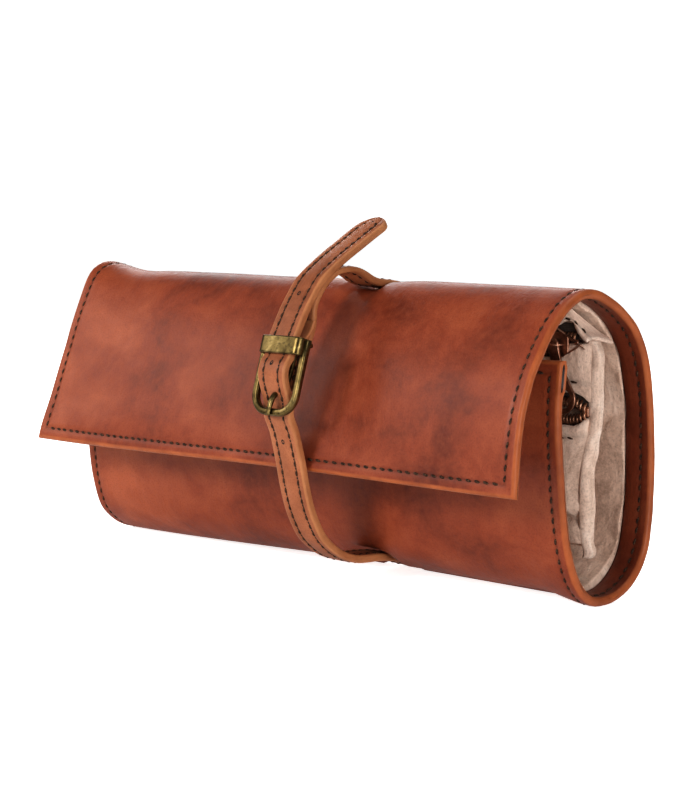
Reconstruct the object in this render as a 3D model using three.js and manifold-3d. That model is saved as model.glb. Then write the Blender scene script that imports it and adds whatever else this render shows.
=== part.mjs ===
// Brush roll case: one leather sheet curled into a roll with a front flap, a buckled strap round it
// and a zipped suede leaf inside. Millimetres, +Z up. X runs along the roll, the front faces -Y,
// and the origin is in the middle of the flat strip that the case stands on.
import * as THREE from 'three';
import { mergeVertices } from 'three/addons/utils/BufferGeometryUtils.js';
import Module from 'manifold-3d';

const wasm = await Module();
wasm.setup();

// ---- driving dimensions -------------------------------------------------------------------
const HALF = 115;            // half the length of the roll
const GAP = 0.3;             // air between neighbouring layers
const LEATHER = 2.0;         // outer leather
const INNER = 1.5;           // suede lining, and the leather hem strips beside it
const HEM = 10;              // width of the hem strips
const STRAP_X = 25.5;        // middle of the strap along the roll
const STRAP_W = 12.5;
const STRAP_T = 3.4;
const FLOOR_GAP = 0.35;      // the strap's underside, above the surface the case stands on
const LEAF_HALF = 105.5;     // half the length of the zipped leaf
const LEAF_FRONT = 2.0;      // y of the leaf's front face
const LEAF_BACK = 7.7;
const SUEDE = 1.2;           // suede sheets of the leaf
const UPPER_ZIP = 83.5;      // height of each zip's centre line
const LOWER_ZIP = 62;
const ZIP_WINDOW = 4.3;      // half the slot in the suede round a zip
const UPPER_SLIDER_X = 95;
const LOWER_SLIDER_X = -94;
const PULL_LENGTH = 22.5;

// Outer face of the sheet in cross section, [y, z], from the flap's free edge over the top,
// down the back, under the base and up the front wall.
const SECTION = [
  [-46.6, 40], [-45.3, 48], [-43.5, 58], [-41.2, 67], [-37.6, 76.5], [-32.8, 85], [-27.2, 92.2],
  [-21.2, 98.4], [-16, 102.2], [-10.5, 104], [-4, 103.2], [3, 99.6], [9.5, 93.5], [15, 86.5],
  [20, 76], [24, 64], [26.5, 51], [27.2, 39], [26, 26], [22.6, 14.2], [17.4, 5.6], [12.6, 1.4],
  [9, 0], [3, 0], [-6, 0], [-13, 0], [-16.4, 1.8], [-19.8, 6.9], [-22.5, 15], [-24.6, 26],
  [-26.2, 38], [-27.4, 52], [-28, 66], [-28.3, 80.6],
];
const FLAP_SPLIT = [-8, 104];   // where the flap bends
const WALL_SPLIT = [-18.4, 4.3]; // where the front wall bends

// ---- solids ------------------------------------------------------------------------------
function toSolid(geometry) {
  const g = geometry.clone();
  g.deleteAttribute('normal');
  g.deleteAttribute('uv');
  const m = mergeVertices(g, 1e-4);
  return new wasm.Manifold(new wasm.Mesh({
    numProp: 3,
    vertProperties: new Float32Array(m.attributes.position.array),
    triVerts: new Uint32Array(m.index.array),
  }));
}

function toGeometry(solid) {
  const mesh = solid.getMesh();
  const g = new THREE.BufferGeometry();
  g.setAttribute('position', new THREE.BufferAttribute(new Float32Array(mesh.vertProperties), 3));
  g.setIndex(new THREE.BufferAttribute(new Uint32Array(mesh.triVerts), 1));
  return g;
}

const join = (...parts) => toGeometry(parts.map(toSolid).reduce((a, b) => a.add(b)));
const cut = (part, ...tools) => toGeometry(tools.map(toSolid).reduce((a, b) => a.subtract(b), toSolid(part)));

function box(x0, x1, y0, y1, z0, z1) {
  const g = new THREE.BoxGeometry(x1 - x0, y1 - y0, z1 - z0);
  return g.translate((x0 + x1) / 2, (y0 + y1) / 2, (z0 + z1) / 2);
}

// A cylinder along Y or X.
function rod(axis, r, from, to, u, v, segments = 20) {
  const g = new THREE.CylinderGeometry(r, r, to - from, segments);
  if (axis === 'x') return g.rotateZ(-Math.PI / 2).translate((from + to) / 2, u, v);
  return g.translate(u, (from + to) / 2, v);
}

// A prism along X with the outline [y, z]. stations are the x of its rings of vertices, and
// shift(x, key) may move a ring's vertex in y and z.
const keyOf = (y, z) => `${y.toFixed(3)},${z.toFixed(3)}`;
function prism(outline, stations, shift = null) {
  const shape = new THREE.Shape(outline.map(([y, z]) => new THREE.Vector2(y, z)));
  const steps = stations.length - 1;
  const g = new THREE.ExtrudeGeometry(shape, { depth: steps, steps, bevelEnabled: false });
  const p = g.attributes.position;
  for (let i = 0; i < p.count; i++) {
    const [y, z] = [p.getX(i), p.getY(i)];
    const x = stations[Math.round(p.getZ(i))];
    const [dy, dz] = shift ? shift(x, keyOf(y, z)) : [0, 0];
    p.setXYZ(i, x, y + dy, z + dz);
  }
  return g;
}

// ---- a path in cross section, with points at any distance along it and beside it ------------
class Path {
  constructor(points, count, flat = false) {
    const curve = new THREE.CatmullRomCurve3(points.map(([y, z]) => new THREE.Vector3(0, y, z)));
    this.p = curve.getSpacedPoints(count).map((q) => [q.y, q.z]);
    if (flat) this.p = this.p.map(([y, z]) => [y, z < 0.35 && y > -13.4 ? 0 : Math.max(z, 0)]);
    this.n = this.p.map((q, i) => {
      const a = this.p[Math.max(i - 1, 0)];
      const b = this.p[Math.min(i + 1, this.p.length - 1)];
      const l = Math.hypot(b[0] - a[0], b[1] - a[1]);
      return [(b[1] - a[1]) / l, -(b[0] - a[0]) / l];
    });
    this.step = curve.getLength() / count;
    this.last = count;
  }

  // The point beside index i (any number), d to the right of the way the path runs.
  at(i, d = 0) {
    const k = Math.min(Math.floor(i), this.last - 1);
    const t = i - k;
    const mix = (c) => (this.p[k][c] + this.n[k][c] * d) * (1 - t) + (this.p[k + 1][c] + this.n[k + 1][c] * d) * t;
    return [mix(0), mix(1)];
  }

  // The index nearest to the point q.
  near(q) {
    let best = [1e9, 0];
    for (let i = 0; i <= this.last; i += 0.02) {
      const [y, z] = this.at(i);
      const d = Math.hypot(y - q[0], z - q[1]);
      if (d < best[0]) best = [d, i];
    }
    return best[1];
  }

  indices(i0, i1) {
    const list = [i0];
    for (let k = Math.ceil(i0 + 0.05); k < i1 - 0.05; k++) list.push(k);
    return [...list, i1];
  }

  // Outline of the layer between offsets d0 and d1, from index i0 to index i1.
  band(i0, i1, d0, d1) {
    const list = this.indices(i0, i1);
    return [...list.map((i) => this.at(i, d0)), ...list.reverse().map((i) => this.at(i, d1))];
  }
}

const sheet = new Path(SECTION, 78, true);
const mm = (length) => length / sheet.step;
const END = sheet.last;
const FLAP_AT = sheet.near(FLAP_SPLIT);
const WALL_AT = sheet.near(WALL_SPLIT);
const BASE_FROM = sheet.near([24, 17]);
const FLAT_TO = sheet.near([-13, 0]);
const DENT_FRONT = [4.2, 2.2];   // depth of the dent at the front of the flat strip and at the wall

// Under the strap the base is pressed in, so that the strap and the base both lie on the surface.
// How far the strap itself is lifted out of the sheet's way, at index i:
function lift(i) {
  const [, z] = sheet.at(i);
  const [, zOut] = sheet.at(i, -1);
  const down = z - zOut;
  if (down < 0.3 || i < BASE_FROM || i > WALL_AT) return 0;
  const low = z - (GAP + STRAP_T + FLOOR_GAP) * down;
  return Math.max(0, (FLOOR_GAP - low) / down);
}

// How far the sheet is pressed in, which is a little more:
function press(i) {
  if (i < BASE_FROM || i > WALL_AT) return 0;
  const most = Math.max(lift(i - 0.5), lift(i), lift(i + 0.5));
  const front = (i - FLAT_TO) / (WALL_AT - FLAT_TO);
  const need = front > 0 ? DENT_FRONT[0] * (1 - front) + DENT_FRONT[1] * front : 0;
  return Math.max(most > 0 ? most + 0.4 : 0, need);
}

// Across the roll the dent is level under the strap and fades out on both sides of it.
const DENT_FLAT = 8;
const DENT_FADE = 14;
const DENT_STEPS = 6;
const PRESS_STATIONS = [];
for (let k = 0; k <= DENT_STEPS; k++) {
  const off = DENT_FLAT + (DENT_FADE * k) / DENT_STEPS;
  PRESS_STATIONS.push(STRAP_X - off, STRAP_X + off);
}
PRESS_STATIONS.sort((a, b) => a - b);
function dent(x) {
  const t = Math.min(Math.max((Math.abs(x - STRAP_X) - DENT_FLAT) / DENT_FADE, 0), 1);
  return 1 - t;
}

function layer(i0, i1, d0, d1, x0, x1) {
  const list = sheet.indices(i0, i1);
  const pressed = new Map();
  for (const d of [d0, d1]) {
    for (const i of list) {
      const [y, z] = sheet.at(i, d);
      const [y1, z1] = sheet.at(i, d + 1);
      pressed.set(keyOf(y, z), [(y1 - y) * press(i), (z1 - z) * press(i)]);
    }
  }
  const inside = Math.abs(x0 - x1) > 60 && list.some((i) => press(i) > 0);
  const stations = inside ? [x0, ...PRESS_STATIONS.filter((x) => x > x0 && x < x1), x1] : [x0, x1];
  return prism(sheet.band(i0, i1, d0, d1), stations, (x, key) => (
    inside && pressed.has(key) ? pressed.get(key).map((v) => v * dent(x)) : [0, 0]));
}

// ---- colours and materials -----------------------------------------------------------------
const FINISH = {
  leather: [0x8a3d1c, 0.42, 0], hem: [0x7c3418, 0.45, 0], suede: [0xb9a596, 0.95, 0],
  strap: [0x8f4824, 0.5, 0], brass: [0x9a7a3a, 0.35, 1], copper: [0x8a5a42, 0.4, 1],
  tape: [0x3a2a22, 0.9, 0], teeth: [0x6e4630, 0.45, 0.3],
};

const group = new THREE.Group();
group.name = 'brush_roll_case';
function add(name, finish, geometry) {
  const [color, roughness, metalness] = FINISH[finish];
  const mesh = new THREE.Mesh(geometry, new THREE.MeshStandardMaterial({ color, roughness, metalness }));
  mesh.name = name;
  group.add(mesh);
}

// ---- the sheet: leather outside, hem strips and suede lining inside ------------------------
const D_IN = LEATHER + GAP;
const D_FACE = D_IN + INNER;
const slit = mm(0.25);
const HEM_X = HALF - HEM;

add('back_leather', 'leather', layer(FLAP_AT + slit, WALL_AT - slit, 0, LEATHER, -HALF, HALF));
add('back_lining', 'suede', layer(FLAP_AT + slit, WALL_AT - slit, D_IN, D_FACE, -HEM_X + GAP, HEM_X - GAP));
for (const [side, x0, x1] of [['left', -HALF, -HEM_X], ['right', HEM_X, HALF]]) {
  add(`back_hem_${side}`, 'hem', layer(FLAP_AT + slit, WALL_AT - slit, D_IN, D_FACE, x0, x1));
  add(`flap_hem_${side}`, 'hem', layer(0, FLAP_AT - slit, D_IN, D_FACE, x0, x1));
  add(`wall_hem_${side}`, 'hem', layer(WALL_AT + slit, END, D_IN, D_FACE, x0, x1));
}
add('flap_leather', 'leather', layer(0, FLAP_AT - slit, 0, LEATHER, -HALF, HALF));
add('flap_hem_bottom', 'hem', layer(0, mm(HEM), D_IN, D_FACE, -HEM_X + GAP, HEM_X - GAP));
add('flap_lining', 'suede', layer(mm(HEM + GAP), FLAP_AT - slit, D_IN, D_FACE, -HEM_X + GAP, HEM_X - GAP));
add('wall_leather', 'leather', layer(WALL_AT + slit, END, 0, LEATHER, -HALF, HALF));
add('wall_hem_top', 'hem', layer(END - mm(HEM), END, D_IN, D_FACE, -HEM_X + GAP, HEM_X - GAP));
add('wall_lining', 'suede', layer(WALL_AT + slit, END - mm(HEM + GAP), D_IN, D_FACE, -HEM_X + GAP, HEM_X - GAP));

// ---- brush sleeve: a suede band sewn down in four channels on the back lining ---------------
const SLEEVE_TOP = sheet.near([22.4, 70]);
const CHANNEL = mm(14.5);
const CHANNELS = 4;
const CHANNEL_RISE = 6.6;
const SLEEVE_SAMPLES = 9;
{
  const face = [];
  for (let c = 0; c < CHANNELS; c++) {
    for (let k = c ? 1 : 0; k <= SLEEVE_SAMPLES; k++) {
      const t = k / SLEEVE_SAMPLES;
      const rise = CHANNEL_RISE * Math.sin(Math.PI * t) ** 0.45;
      face.push([SLEEVE_TOP + (c + t) * CHANNEL, D_FACE + 0.6 + rise]);
    }
  }
  const skin = 1.0;
  const outline = [
    ...face.map(([i, d]) => sheet.at(i, d)),
    ...face.slice().reverse().map(([i, d]) => sheet.at(i, d + skin)),
  ];
  add('brush_sleeve', 'suede', prism(outline, [-101, 18]));
}

// ---- the leaf: suede panels with two zips, hung from the lining under the top ----------------
const EDGE = 3.3;
const PANEL_X = LEAF_HALF - EDGE - GAP;
const bandOf = (points, count, thick, x0, x1) => {
  const path = new Path(points, count);
  return prism(path.band(0, path.last, -thick / 2, thick / 2), [x0, x1]);
};
const frontMid = LEAF_FRONT + SUEDE / 2;
add('leaf_top_band', 'suede', bandOf(
  [[-3, 98], [0.2, 93.8], [2.1, 90.6], [frontMid, UPPER_ZIP + ZIP_WINDOW]], 6, SUEDE, -PANEL_X, PANEL_X));
add('leaf_middle_panel', 'suede', box(-PANEL_X, PANEL_X, LEAF_FRONT, LEAF_FRONT + SUEDE,
  LOWER_ZIP + ZIP_WINDOW, UPPER_ZIP - ZIP_WINDOW));
add('leaf_lower_panel', 'suede', bandOf(
  [[frontMid, LOWER_ZIP - ZIP_WINDOW], [2.2, 50], [1.7, 40], [1.9, 28], [3.4, 18.5]], 8, SUEDE, -PANEL_X, PANEL_X));
add('leaf_backing', 'suede', box(-PANEL_X, PANEL_X, LEAF_BACK - SUEDE, LEAF_BACK, 17.5, 87));
for (const side of [-1, 1]) {
  const [a, b] = [side * (LEAF_HALF - EDGE), side * LEAF_HALF].sort((p, q) => p - q);
  add(`leaf_edge_${side < 0 ? 'left' : 'right'}`, 'suede', box(a, b, 1.2, LEAF_BACK, 17, 87));
}

// ---- zips: two tapes, two rows of teeth, stops, a slider and its pull -------------------------
const ROW = { near: 0.6, far: 1.8 };   // a row of teeth, measured from the zip's centre line
const CHAIN_Y = [2.65, 4.15];
const TAPE_Y = [3.5, 4.1];
const ZIP_END = 99.9;
function zip(name, z, sliderX) {
  for (const [side, s] of [['top', 1], ['bottom', -1]]) {
    const span = (a, b) => (s > 0 ? [z + a, z + b] : [z - b, z - a]);
    add(`${name}_tape_${side}`, 'tape', box(-101.2, 101.2, ...TAPE_Y, ...span(ROW.far + GAP, 8)));
    add(`${name}_teeth_${side}`, 'teeth', box(-ZIP_END, ZIP_END, ...CHAIN_Y, ...span(ROW.near, ROW.far)));
  }
  for (const [side, s] of [['left', -1], ['right', 1]]) {
    const [a, b] = [s * (ZIP_END + GAP), s * (ZIP_END + 1.5)].sort((p, q) => p - q);
    add(`${name}_stop_${side}`, 'copper', box(a, b, 2.3, 3.3, z - 1.8, z + 1.8));
  }
  add(`${name}_slider`, 'copper', join(
    box(sliderX - 4.4, sliderX + 4.4, 1.1, 2.3, z - 3.7, z + 3.7),
    box(sliderX - 4, sliderX + 4, 4.5, 5.4, z - 3.2, z + 3.2),
    box(sliderX - 1.5, sliderX + 1.5, 2.2, 4.6, z - 0.3, z + 0.3),
    rod('y', 0.8, -1.9, 1.2, sliderX, z),
    rod('y', 1.6, -1.9, -1.3, sliderX, z),
  ));
  const pull = new THREE.Shape();
  const r = 4.7;
  const low = -PULL_LENGTH + r;
  pull.moveTo(-1.9, 0.3);
  pull.absarc(0, 0, 1.95, Math.PI - 0.15, 0.15, true);
  pull.lineTo(1.6, -6);
  pull.lineTo(r * 0.96, low + r * 0.28);
  pull.absarc(0, low, r, 0.28, Math.PI - 0.28, true);
  pull.lineTo(-1.6, -6);
  pull.closePath();
  for (const [hy, hr] of [[0, 1.0], [low - 0.3, 2.5]]) {
    const hole = new THREE.Path();
    hole.absarc(0, hy, hr, 0, Math.PI * 2, false);
    pull.holes.push(hole);
  }
  const plate = new THREE.ExtrudeGeometry(pull, { depth: 1, bevelEnabled: false, curveSegments: 8 });
  add(`${name}_pull`, 'copper', plate.rotateX(Math.PI / 2).translate(sliderX, 0, z));
}
zip('upper_zip', UPPER_ZIP, UPPER_SLIDER_X);
zip('lower_zip', LOWER_ZIP, LOWER_SLIDER_X);

// ---- buckle: its own tilted frame, [b, c]: b up along the frame, c outwards -------------------
const BUCKLE_AT = [-52.96, 82.2];
const TILT = 0.3;
const buckle = (b, c) => [
  BUCKLE_AT[0] + b * Math.sin(TILT) - c * Math.cos(TILT),
  BUCKLE_AT[1] + b * Math.cos(TILT) + c * Math.sin(TILT),
];
const BAR = buckle(1.25, -4);
const BAR_R = 1;
const toBuckle = new THREE.Matrix4().makeBasis(
  new THREE.Vector3(1, 0, 0),
  new THREE.Vector3(0, Math.sin(TILT), Math.cos(TILT)),
  new THREE.Vector3(0, -Math.cos(TILT), Math.sin(TILT)),
).setPosition(STRAP_X, ...BUCKLE_AT);

const loopOutline = (half, top, bottom, r, kind) => {
  const s = new kind();
  s.moveTo(half, top);
  s.lineTo(-half, top);
  s.lineTo(-half, bottom + r);
  s.absarc(-half + r, bottom + r, r, Math.PI, Math.PI * 1.5, false);
  s.lineTo(half - r, bottom);
  s.absarc(half - r, bottom + r, r, Math.PI * 1.5, Math.PI * 2, false);
  s.closePath();
  return s;
};
const frameShape = loopOutline(10.5, 2.4, -23.4, 7, THREE.Shape);
frameShape.holes.push(loopOutline(7.9, 1.2, -20.8, 5, THREE.Path));
const frameRing = new THREE.ExtrudeGeometry(frameShape, { depth: 2.4, bevelEnabled: false, curveSegments: 7 });
frameRing.translate(0, 0, -1.2);
const buckleLoop = join(
  cut(frameRing, box(-7.9, 7.9, 0, 4, -3, 3)),
  box(-9.3, 9.3, -3.2, 2.7, 2.6, 4),
  box(-9.3, -7.9, -3.2, 2.7, -2.4, 4),
  box(7.9, 9.3, -3.2, 2.7, -2.4, 4),
  box(-9.3, -7.9, -0.3, 2.7, -5.3, 0),
  box(7.9, 9.3, -0.3, 2.7, -5.3, 0),
  rod('x', BAR_R, -9, 9, 1.25, -4),
);
add('buckle_frame', 'brass', buckleLoop.applyMatrix4(toBuckle));

const tonguePoints = [
  [0.2, -4.2], [-5, -4.1], [-10, -3.8], [-14.2, -3.2], [-17.2, -1.3], [-19, 1.2], [-21, 2.4], [-23.5, 2.3],
].map(([b, c]) => buckle(b, c));
const tongueBand = (thick, half) => bandOf(tonguePoints, 12, thick, STRAP_X - half, STRAP_X + half);
add('buckle_tongue', 'brass', cut(
  join(tongueBand(1.5, 1.1), rod('x', 1.6, STRAP_X - 1.1, STRAP_X + 1.1, ...BAR, 18)),
  rod('x', BAR_R + 0.1, STRAP_X - 3, STRAP_X + 3, ...BAR),
));

// ---- strap ---------------------------------------------------------------------------------
const strapX = [STRAP_X - STRAP_W / 2, STRAP_X + STRAP_W / 2];
const half = STRAP_T / 2;
const strapBand = (path, i0, i1) => prism(path.band(i0, i1, -half, half), strapX);

// Sewn to the back below its middle, and runs down and under the base.
const SEWN_AT = sheet.near([25.3, 59]);
const strapBesideSheet = [];
for (let i = SEWN_AT; i < WALL_AT - mm(4); i += 0.5) {
  strapBesideSheet.push(sheet.at(i, lift(i) - GAP - half));
}
const basePath = new Path(strapBesideSheet, 40);
add('strap_base', 'strap', strapBand(basePath, 0, basePath.last));
add('strap_patch', 'strap', prism(
  new Path([0, 1, 2, 3].map((k) => basePath.at(2.4 + k * 1.6, -half - GAP - 0.8)), 4).band(0, 4, -0.8, 0.8),
  [STRAP_X - 8, STRAP_X + 8]));

// The end that carries the buckle: up the back, over the top and down in front of the flap.
const overPath = new Path([
  sheet.at(SEWN_AT - mm(0.5), -GAP - half), sheet.at(SEWN_AT - mm(8), -GAP - half),
  sheet.at(SEWN_AT - mm(17), -GAP - half), sheet.at(SEWN_AT - mm(27), -GAP - half),
  sheet.at(SEWN_AT - mm(37), -GAP - half), [5.5, 101.3], [-3, 105.3], [-11.5, 106.9], [-19.5, 107],
  [-27, 105.6], [-33.6, 101.9], [-39.4, 96], buckle(6, -7.55), buckle(0, -7.6), buckle(-6, -7.3), buckle(-12, -6.9),
], 44);
add('strap_buckle_end', 'strap', strapBand(overPath, 0, overPath.last));
const foldPoints = [[10, -4.65], [6, -4.1], [3.5, -2.85], [1.25, -2.15], [-0.5, -2.75], [-0.95, -4], [-0.3, -4.8]];
add('strap_fold', 'strap', cut(
  bandOf(foldPoints.map(([b, c]) => buckle(b, c)), 14, 1.1, strapX[0], strapX[1]),
  new THREE.BoxGeometry(3.4, 9, 9).translate(0, -0.5, -3.5).applyMatrix4(toBuckle),
));

// The end with the holes: up the front, through the buckle and out past its keeper.
const tailFace = [
  basePath.at(basePath.last, -half), [-18.4, 0.8], [-25.2, 4.2], [-31.5, 8.1], [-36.8, 11.6], [-42, 16.8],
  [-45.6, 23.1], [-48.1, 29], [-49.8, 35], [-51.2, 41.2], [-52.8, 47.4], [-54.4, 53.2], buckle(-23.4, -3.1),
  buckle(-18.6, -1.5), buckle(-14.6, 1.4), buckle(-10.5, 3.4), buckle(-6.6, 3.6), buckle(-3.4, 2.4), buckle(0, 2.1),
  buckle(3.4, 2), [-51.6, 90.7], [-48.5, 95.7], [-45, 100.3], [-40.6, 105], [-34.7, 109.3], [-27.7, 113.4],
  [-21.2, 116.8], [-14.2, 120.3], [-8.9, 122.8],
];
const tailFacePath = new Path(tailFace, 80);
const tailPoints = Array.from({ length: 41 }, (_, k) => tailFacePath.at(2 * k, half));
const tailPath = new Path(tailPoints, 60);
const TAIL_BEND = tailPath.near([-50.1, 42]);
const tailSlit = 0.5 / tailPath.step;
add('strap_tail_low', 'strap', strapBand(tailPath, 2 * tailSlit, TAIL_BEND - tailSlit));
const tip = tailPath.at(tailPath.last);
const beforeTip = tailPath.at(tailPath.last - 2);
const lean = Math.atan2(tip[1] - beforeTip[1], tip[0] - beforeTip[0]);
// Everything outside a rounded end, cut away square to the strap.
const spare = new THREE.Shape();
const shoulder = 0.5 - STRAP_W / 2;
spare.moveTo(-STRAP_W, shoulder).lineTo(-STRAP_W, 9).lineTo(STRAP_W, 9).lineTo(STRAP_W, shoulder);
spare.lineTo(STRAP_W / 2, shoulder);
spare.absarc(0, shoulder, STRAP_W / 2, 0, Math.PI, false);
spare.closePath();
const corner = new THREE.ExtrudeGeometry(spare, { depth: 12, bevelEnabled: false, curveSegments: 10 });
corner.translate(0, 0, -6).applyMatrix4(new THREE.Matrix4().makeBasis(
  new THREE.Vector3(1, 0, 0),
  new THREE.Vector3(0, Math.cos(lean), Math.sin(lean)),
  new THREE.Vector3(0, -Math.sin(lean), Math.cos(lean)),
).setPosition(STRAP_X, ...tip));
add('strap_tail_high', 'strap', cut(
  strapBand(tailPath, TAIL_BEND + tailSlit, tailPath.last), tongueBand(2.4, 1.6), corner));

export default group;
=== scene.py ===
"""Looks for the leather brush roll case. Lengths in the shape code are millimetres."""
import bisect
import math
import bpy
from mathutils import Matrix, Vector, noise


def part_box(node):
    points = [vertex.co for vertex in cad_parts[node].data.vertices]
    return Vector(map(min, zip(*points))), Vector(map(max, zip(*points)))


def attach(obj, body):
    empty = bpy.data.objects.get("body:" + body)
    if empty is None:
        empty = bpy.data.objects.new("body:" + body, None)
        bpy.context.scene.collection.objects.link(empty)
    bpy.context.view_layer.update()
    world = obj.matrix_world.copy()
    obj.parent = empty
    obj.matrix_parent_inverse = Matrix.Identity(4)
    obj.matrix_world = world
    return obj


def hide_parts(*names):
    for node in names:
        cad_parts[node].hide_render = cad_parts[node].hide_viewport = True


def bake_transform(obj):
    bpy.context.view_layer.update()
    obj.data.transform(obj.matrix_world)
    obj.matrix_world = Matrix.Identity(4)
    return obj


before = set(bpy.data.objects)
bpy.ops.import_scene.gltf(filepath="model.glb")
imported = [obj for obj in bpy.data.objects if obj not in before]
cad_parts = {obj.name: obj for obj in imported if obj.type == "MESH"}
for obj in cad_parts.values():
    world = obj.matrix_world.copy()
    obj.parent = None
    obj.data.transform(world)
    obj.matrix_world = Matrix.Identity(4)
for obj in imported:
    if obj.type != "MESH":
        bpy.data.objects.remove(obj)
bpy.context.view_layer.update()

MM = 0.001
HALF = 115.0          # half the length of the roll
LEATHER = 2.0
EDGE_THICK = 3.1      # leather folded on itself round the rim
HEM = 10.0            # width of that fold
LINING = (2.15, 3.4)  # depth of the suede lining under the outer face
SEAM = 4.1            # stitch line, from the edge
PITCH = 3.5
STRAP_X = 25.5
STRAP_W = 12.5
STRAP_T = 2.8
BUCKLE_AT = (-52.96, 82.2)   # (y, z) of its bar
TILT = 0.30           # the buckle's lean, in radians
BASE_LIFT = 2.8       # how far the front of the base stands clear of the table
STITCH_Z, HOLE_Z = 0.01, 0.2   # the lowest that stitches and holes may lie

# Cross sections of the outer face, (y, z), from the flap's free edge over the top, down the back,
# under the base and up the front wall: at the right end (+X) and at the left end.
RIGHT = [
    (-45.7, 40.2), (-44.6, 48.9), (-43.1, 57.9), (-40.9, 67.0), (-37.2, 76.2), (-31.9, 84.8),
    (-25.9, 92.1), (-19.8, 97.4), (-15.0, 100.2), (-9.5, 102.1), (-2.4, 101.8), (4.6, 99.2),
    (11.9, 95.2), (19.4, 88.8), (25.3, 78.8), (28.6, 65.6), (29.4, 52.0), (29.4, 39.0),
    (28.4, 25.6), (25.1, 12.8), (17.6, 4.2), (8.6, 0.4), (0.0, 0.0), (-6.4, 2.1),
    (-12.0, 7.2), (-16.0, 14.0), (-19.0, 23.0), (-21.4, 35.0), (-23.1, 50.0), (-23.6, 66.0),
    (-22.5, 80.6),
]
LEFT = [
    (-49.1, 39.9), (-46.6, 48.6), (-43.2, 57.2), (-39.7, 66.0), (-36.0, 75.0), (-32.4, 83.8),
    (-28.2, 92.0), (-23.4, 99.6), (-18.6, 103.6), (-12.8, 105.0), (-5.5, 104.0), (2.0, 100.4),
    (9.0, 94.6), (14.8, 87.0), (20.0, 75.8), (24.2, 62.4), (26.6, 50.0), (27.2, 38.5),
    (25.8, 25.4), (22.0, 14.0), (15.6, 5.2), (7.0, 0.5), (-2.7, 0.0), (-9.6, 1.8),
    (-15.6, 5.7), (-20.4, 11.5), (-23.6, 22.0), (-25.3, 34.6), (-26.9, 50.0), (-27.8, 66.0),
    (-28.3, 80.6),
]


# ---- small maths -----------------------------------------------------------------------
def clamp(v, lo=0.0, hi=1.0):
    return max(lo, min(hi, v))


def smooth(v):
    v = clamp(v)
    return v * v * (3 - 2 * v)


def bell(v):
    return math.exp(-v * v)


def n3(x, y, z=0.0):
    return noise.noise(Vector((x, y, z)))


def steps(a, b, size):
    n = max(1, round(abs(b - a) / size))
    return [a + (b - a) * k / n for k in range(n + 1)]


def catmull(points, u):
    i = min(int(u), len(points) - 2)
    t = u - i
    p1, p2 = points[i], points[i + 1]
    p0 = points[i - 1] if i else tuple(2 * a - b for a, b in zip(p1, p2))
    p3 = points[i + 2] if i + 2 < len(points) else tuple(2 * b - a for a, b in zip(p1, p2))
    return tuple(
        0.5 * (2 * b + (c - a) * t + (2 * a - 5 * b + 4 * c - d) * t * t
               + (3 * b - a - 3 * c + d) * t ** 3)
        for a, b, c, d in zip(p0, p1, p2, p3))


class Path:
    """A smooth line through points in a plane, measured along its length."""

    def __init__(self, points, fine=12):
        n = (len(points) - 1) * fine
        self.p = [catmull(points, k / fine) for k in range(n + 1)]
        self.s = [0.0]
        for a, b in zip(self.p, self.p[1:]):
            self.s.append(self.s[-1] + math.dist(a, b))
        self.length = self.s[-1]

    def raw(self, s):
        s = clamp(s, 0, self.length)
        i = min(max(bisect.bisect_right(self.s, s) - 1, 0), len(self.p) - 2)
        t = (s - self.s[i]) / max(self.s[i + 1] - self.s[i], 1e-9)
        return tuple(a + (b - a) * t for a, b in zip(self.p[i], self.p[i + 1]))

    def at(self, s, d=0.0):
        """The point at s, moved d to the right of the line's direction."""
        a, b = self.raw(s - 0.8), self.raw(s + 0.8)
        length = math.dist(a, b) or 1.0
        t = ((b[0] - a[0]) / length, (b[1] - a[1]) / length)
        p = self.raw(s)
        return p[0] + t[1] * d, p[1] - t[0] * d

    def near(self, q):
        k = min(range(len(self.p)), key=lambda i: math.dist(self.p[i], q))
        return self.s[k]


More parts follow.
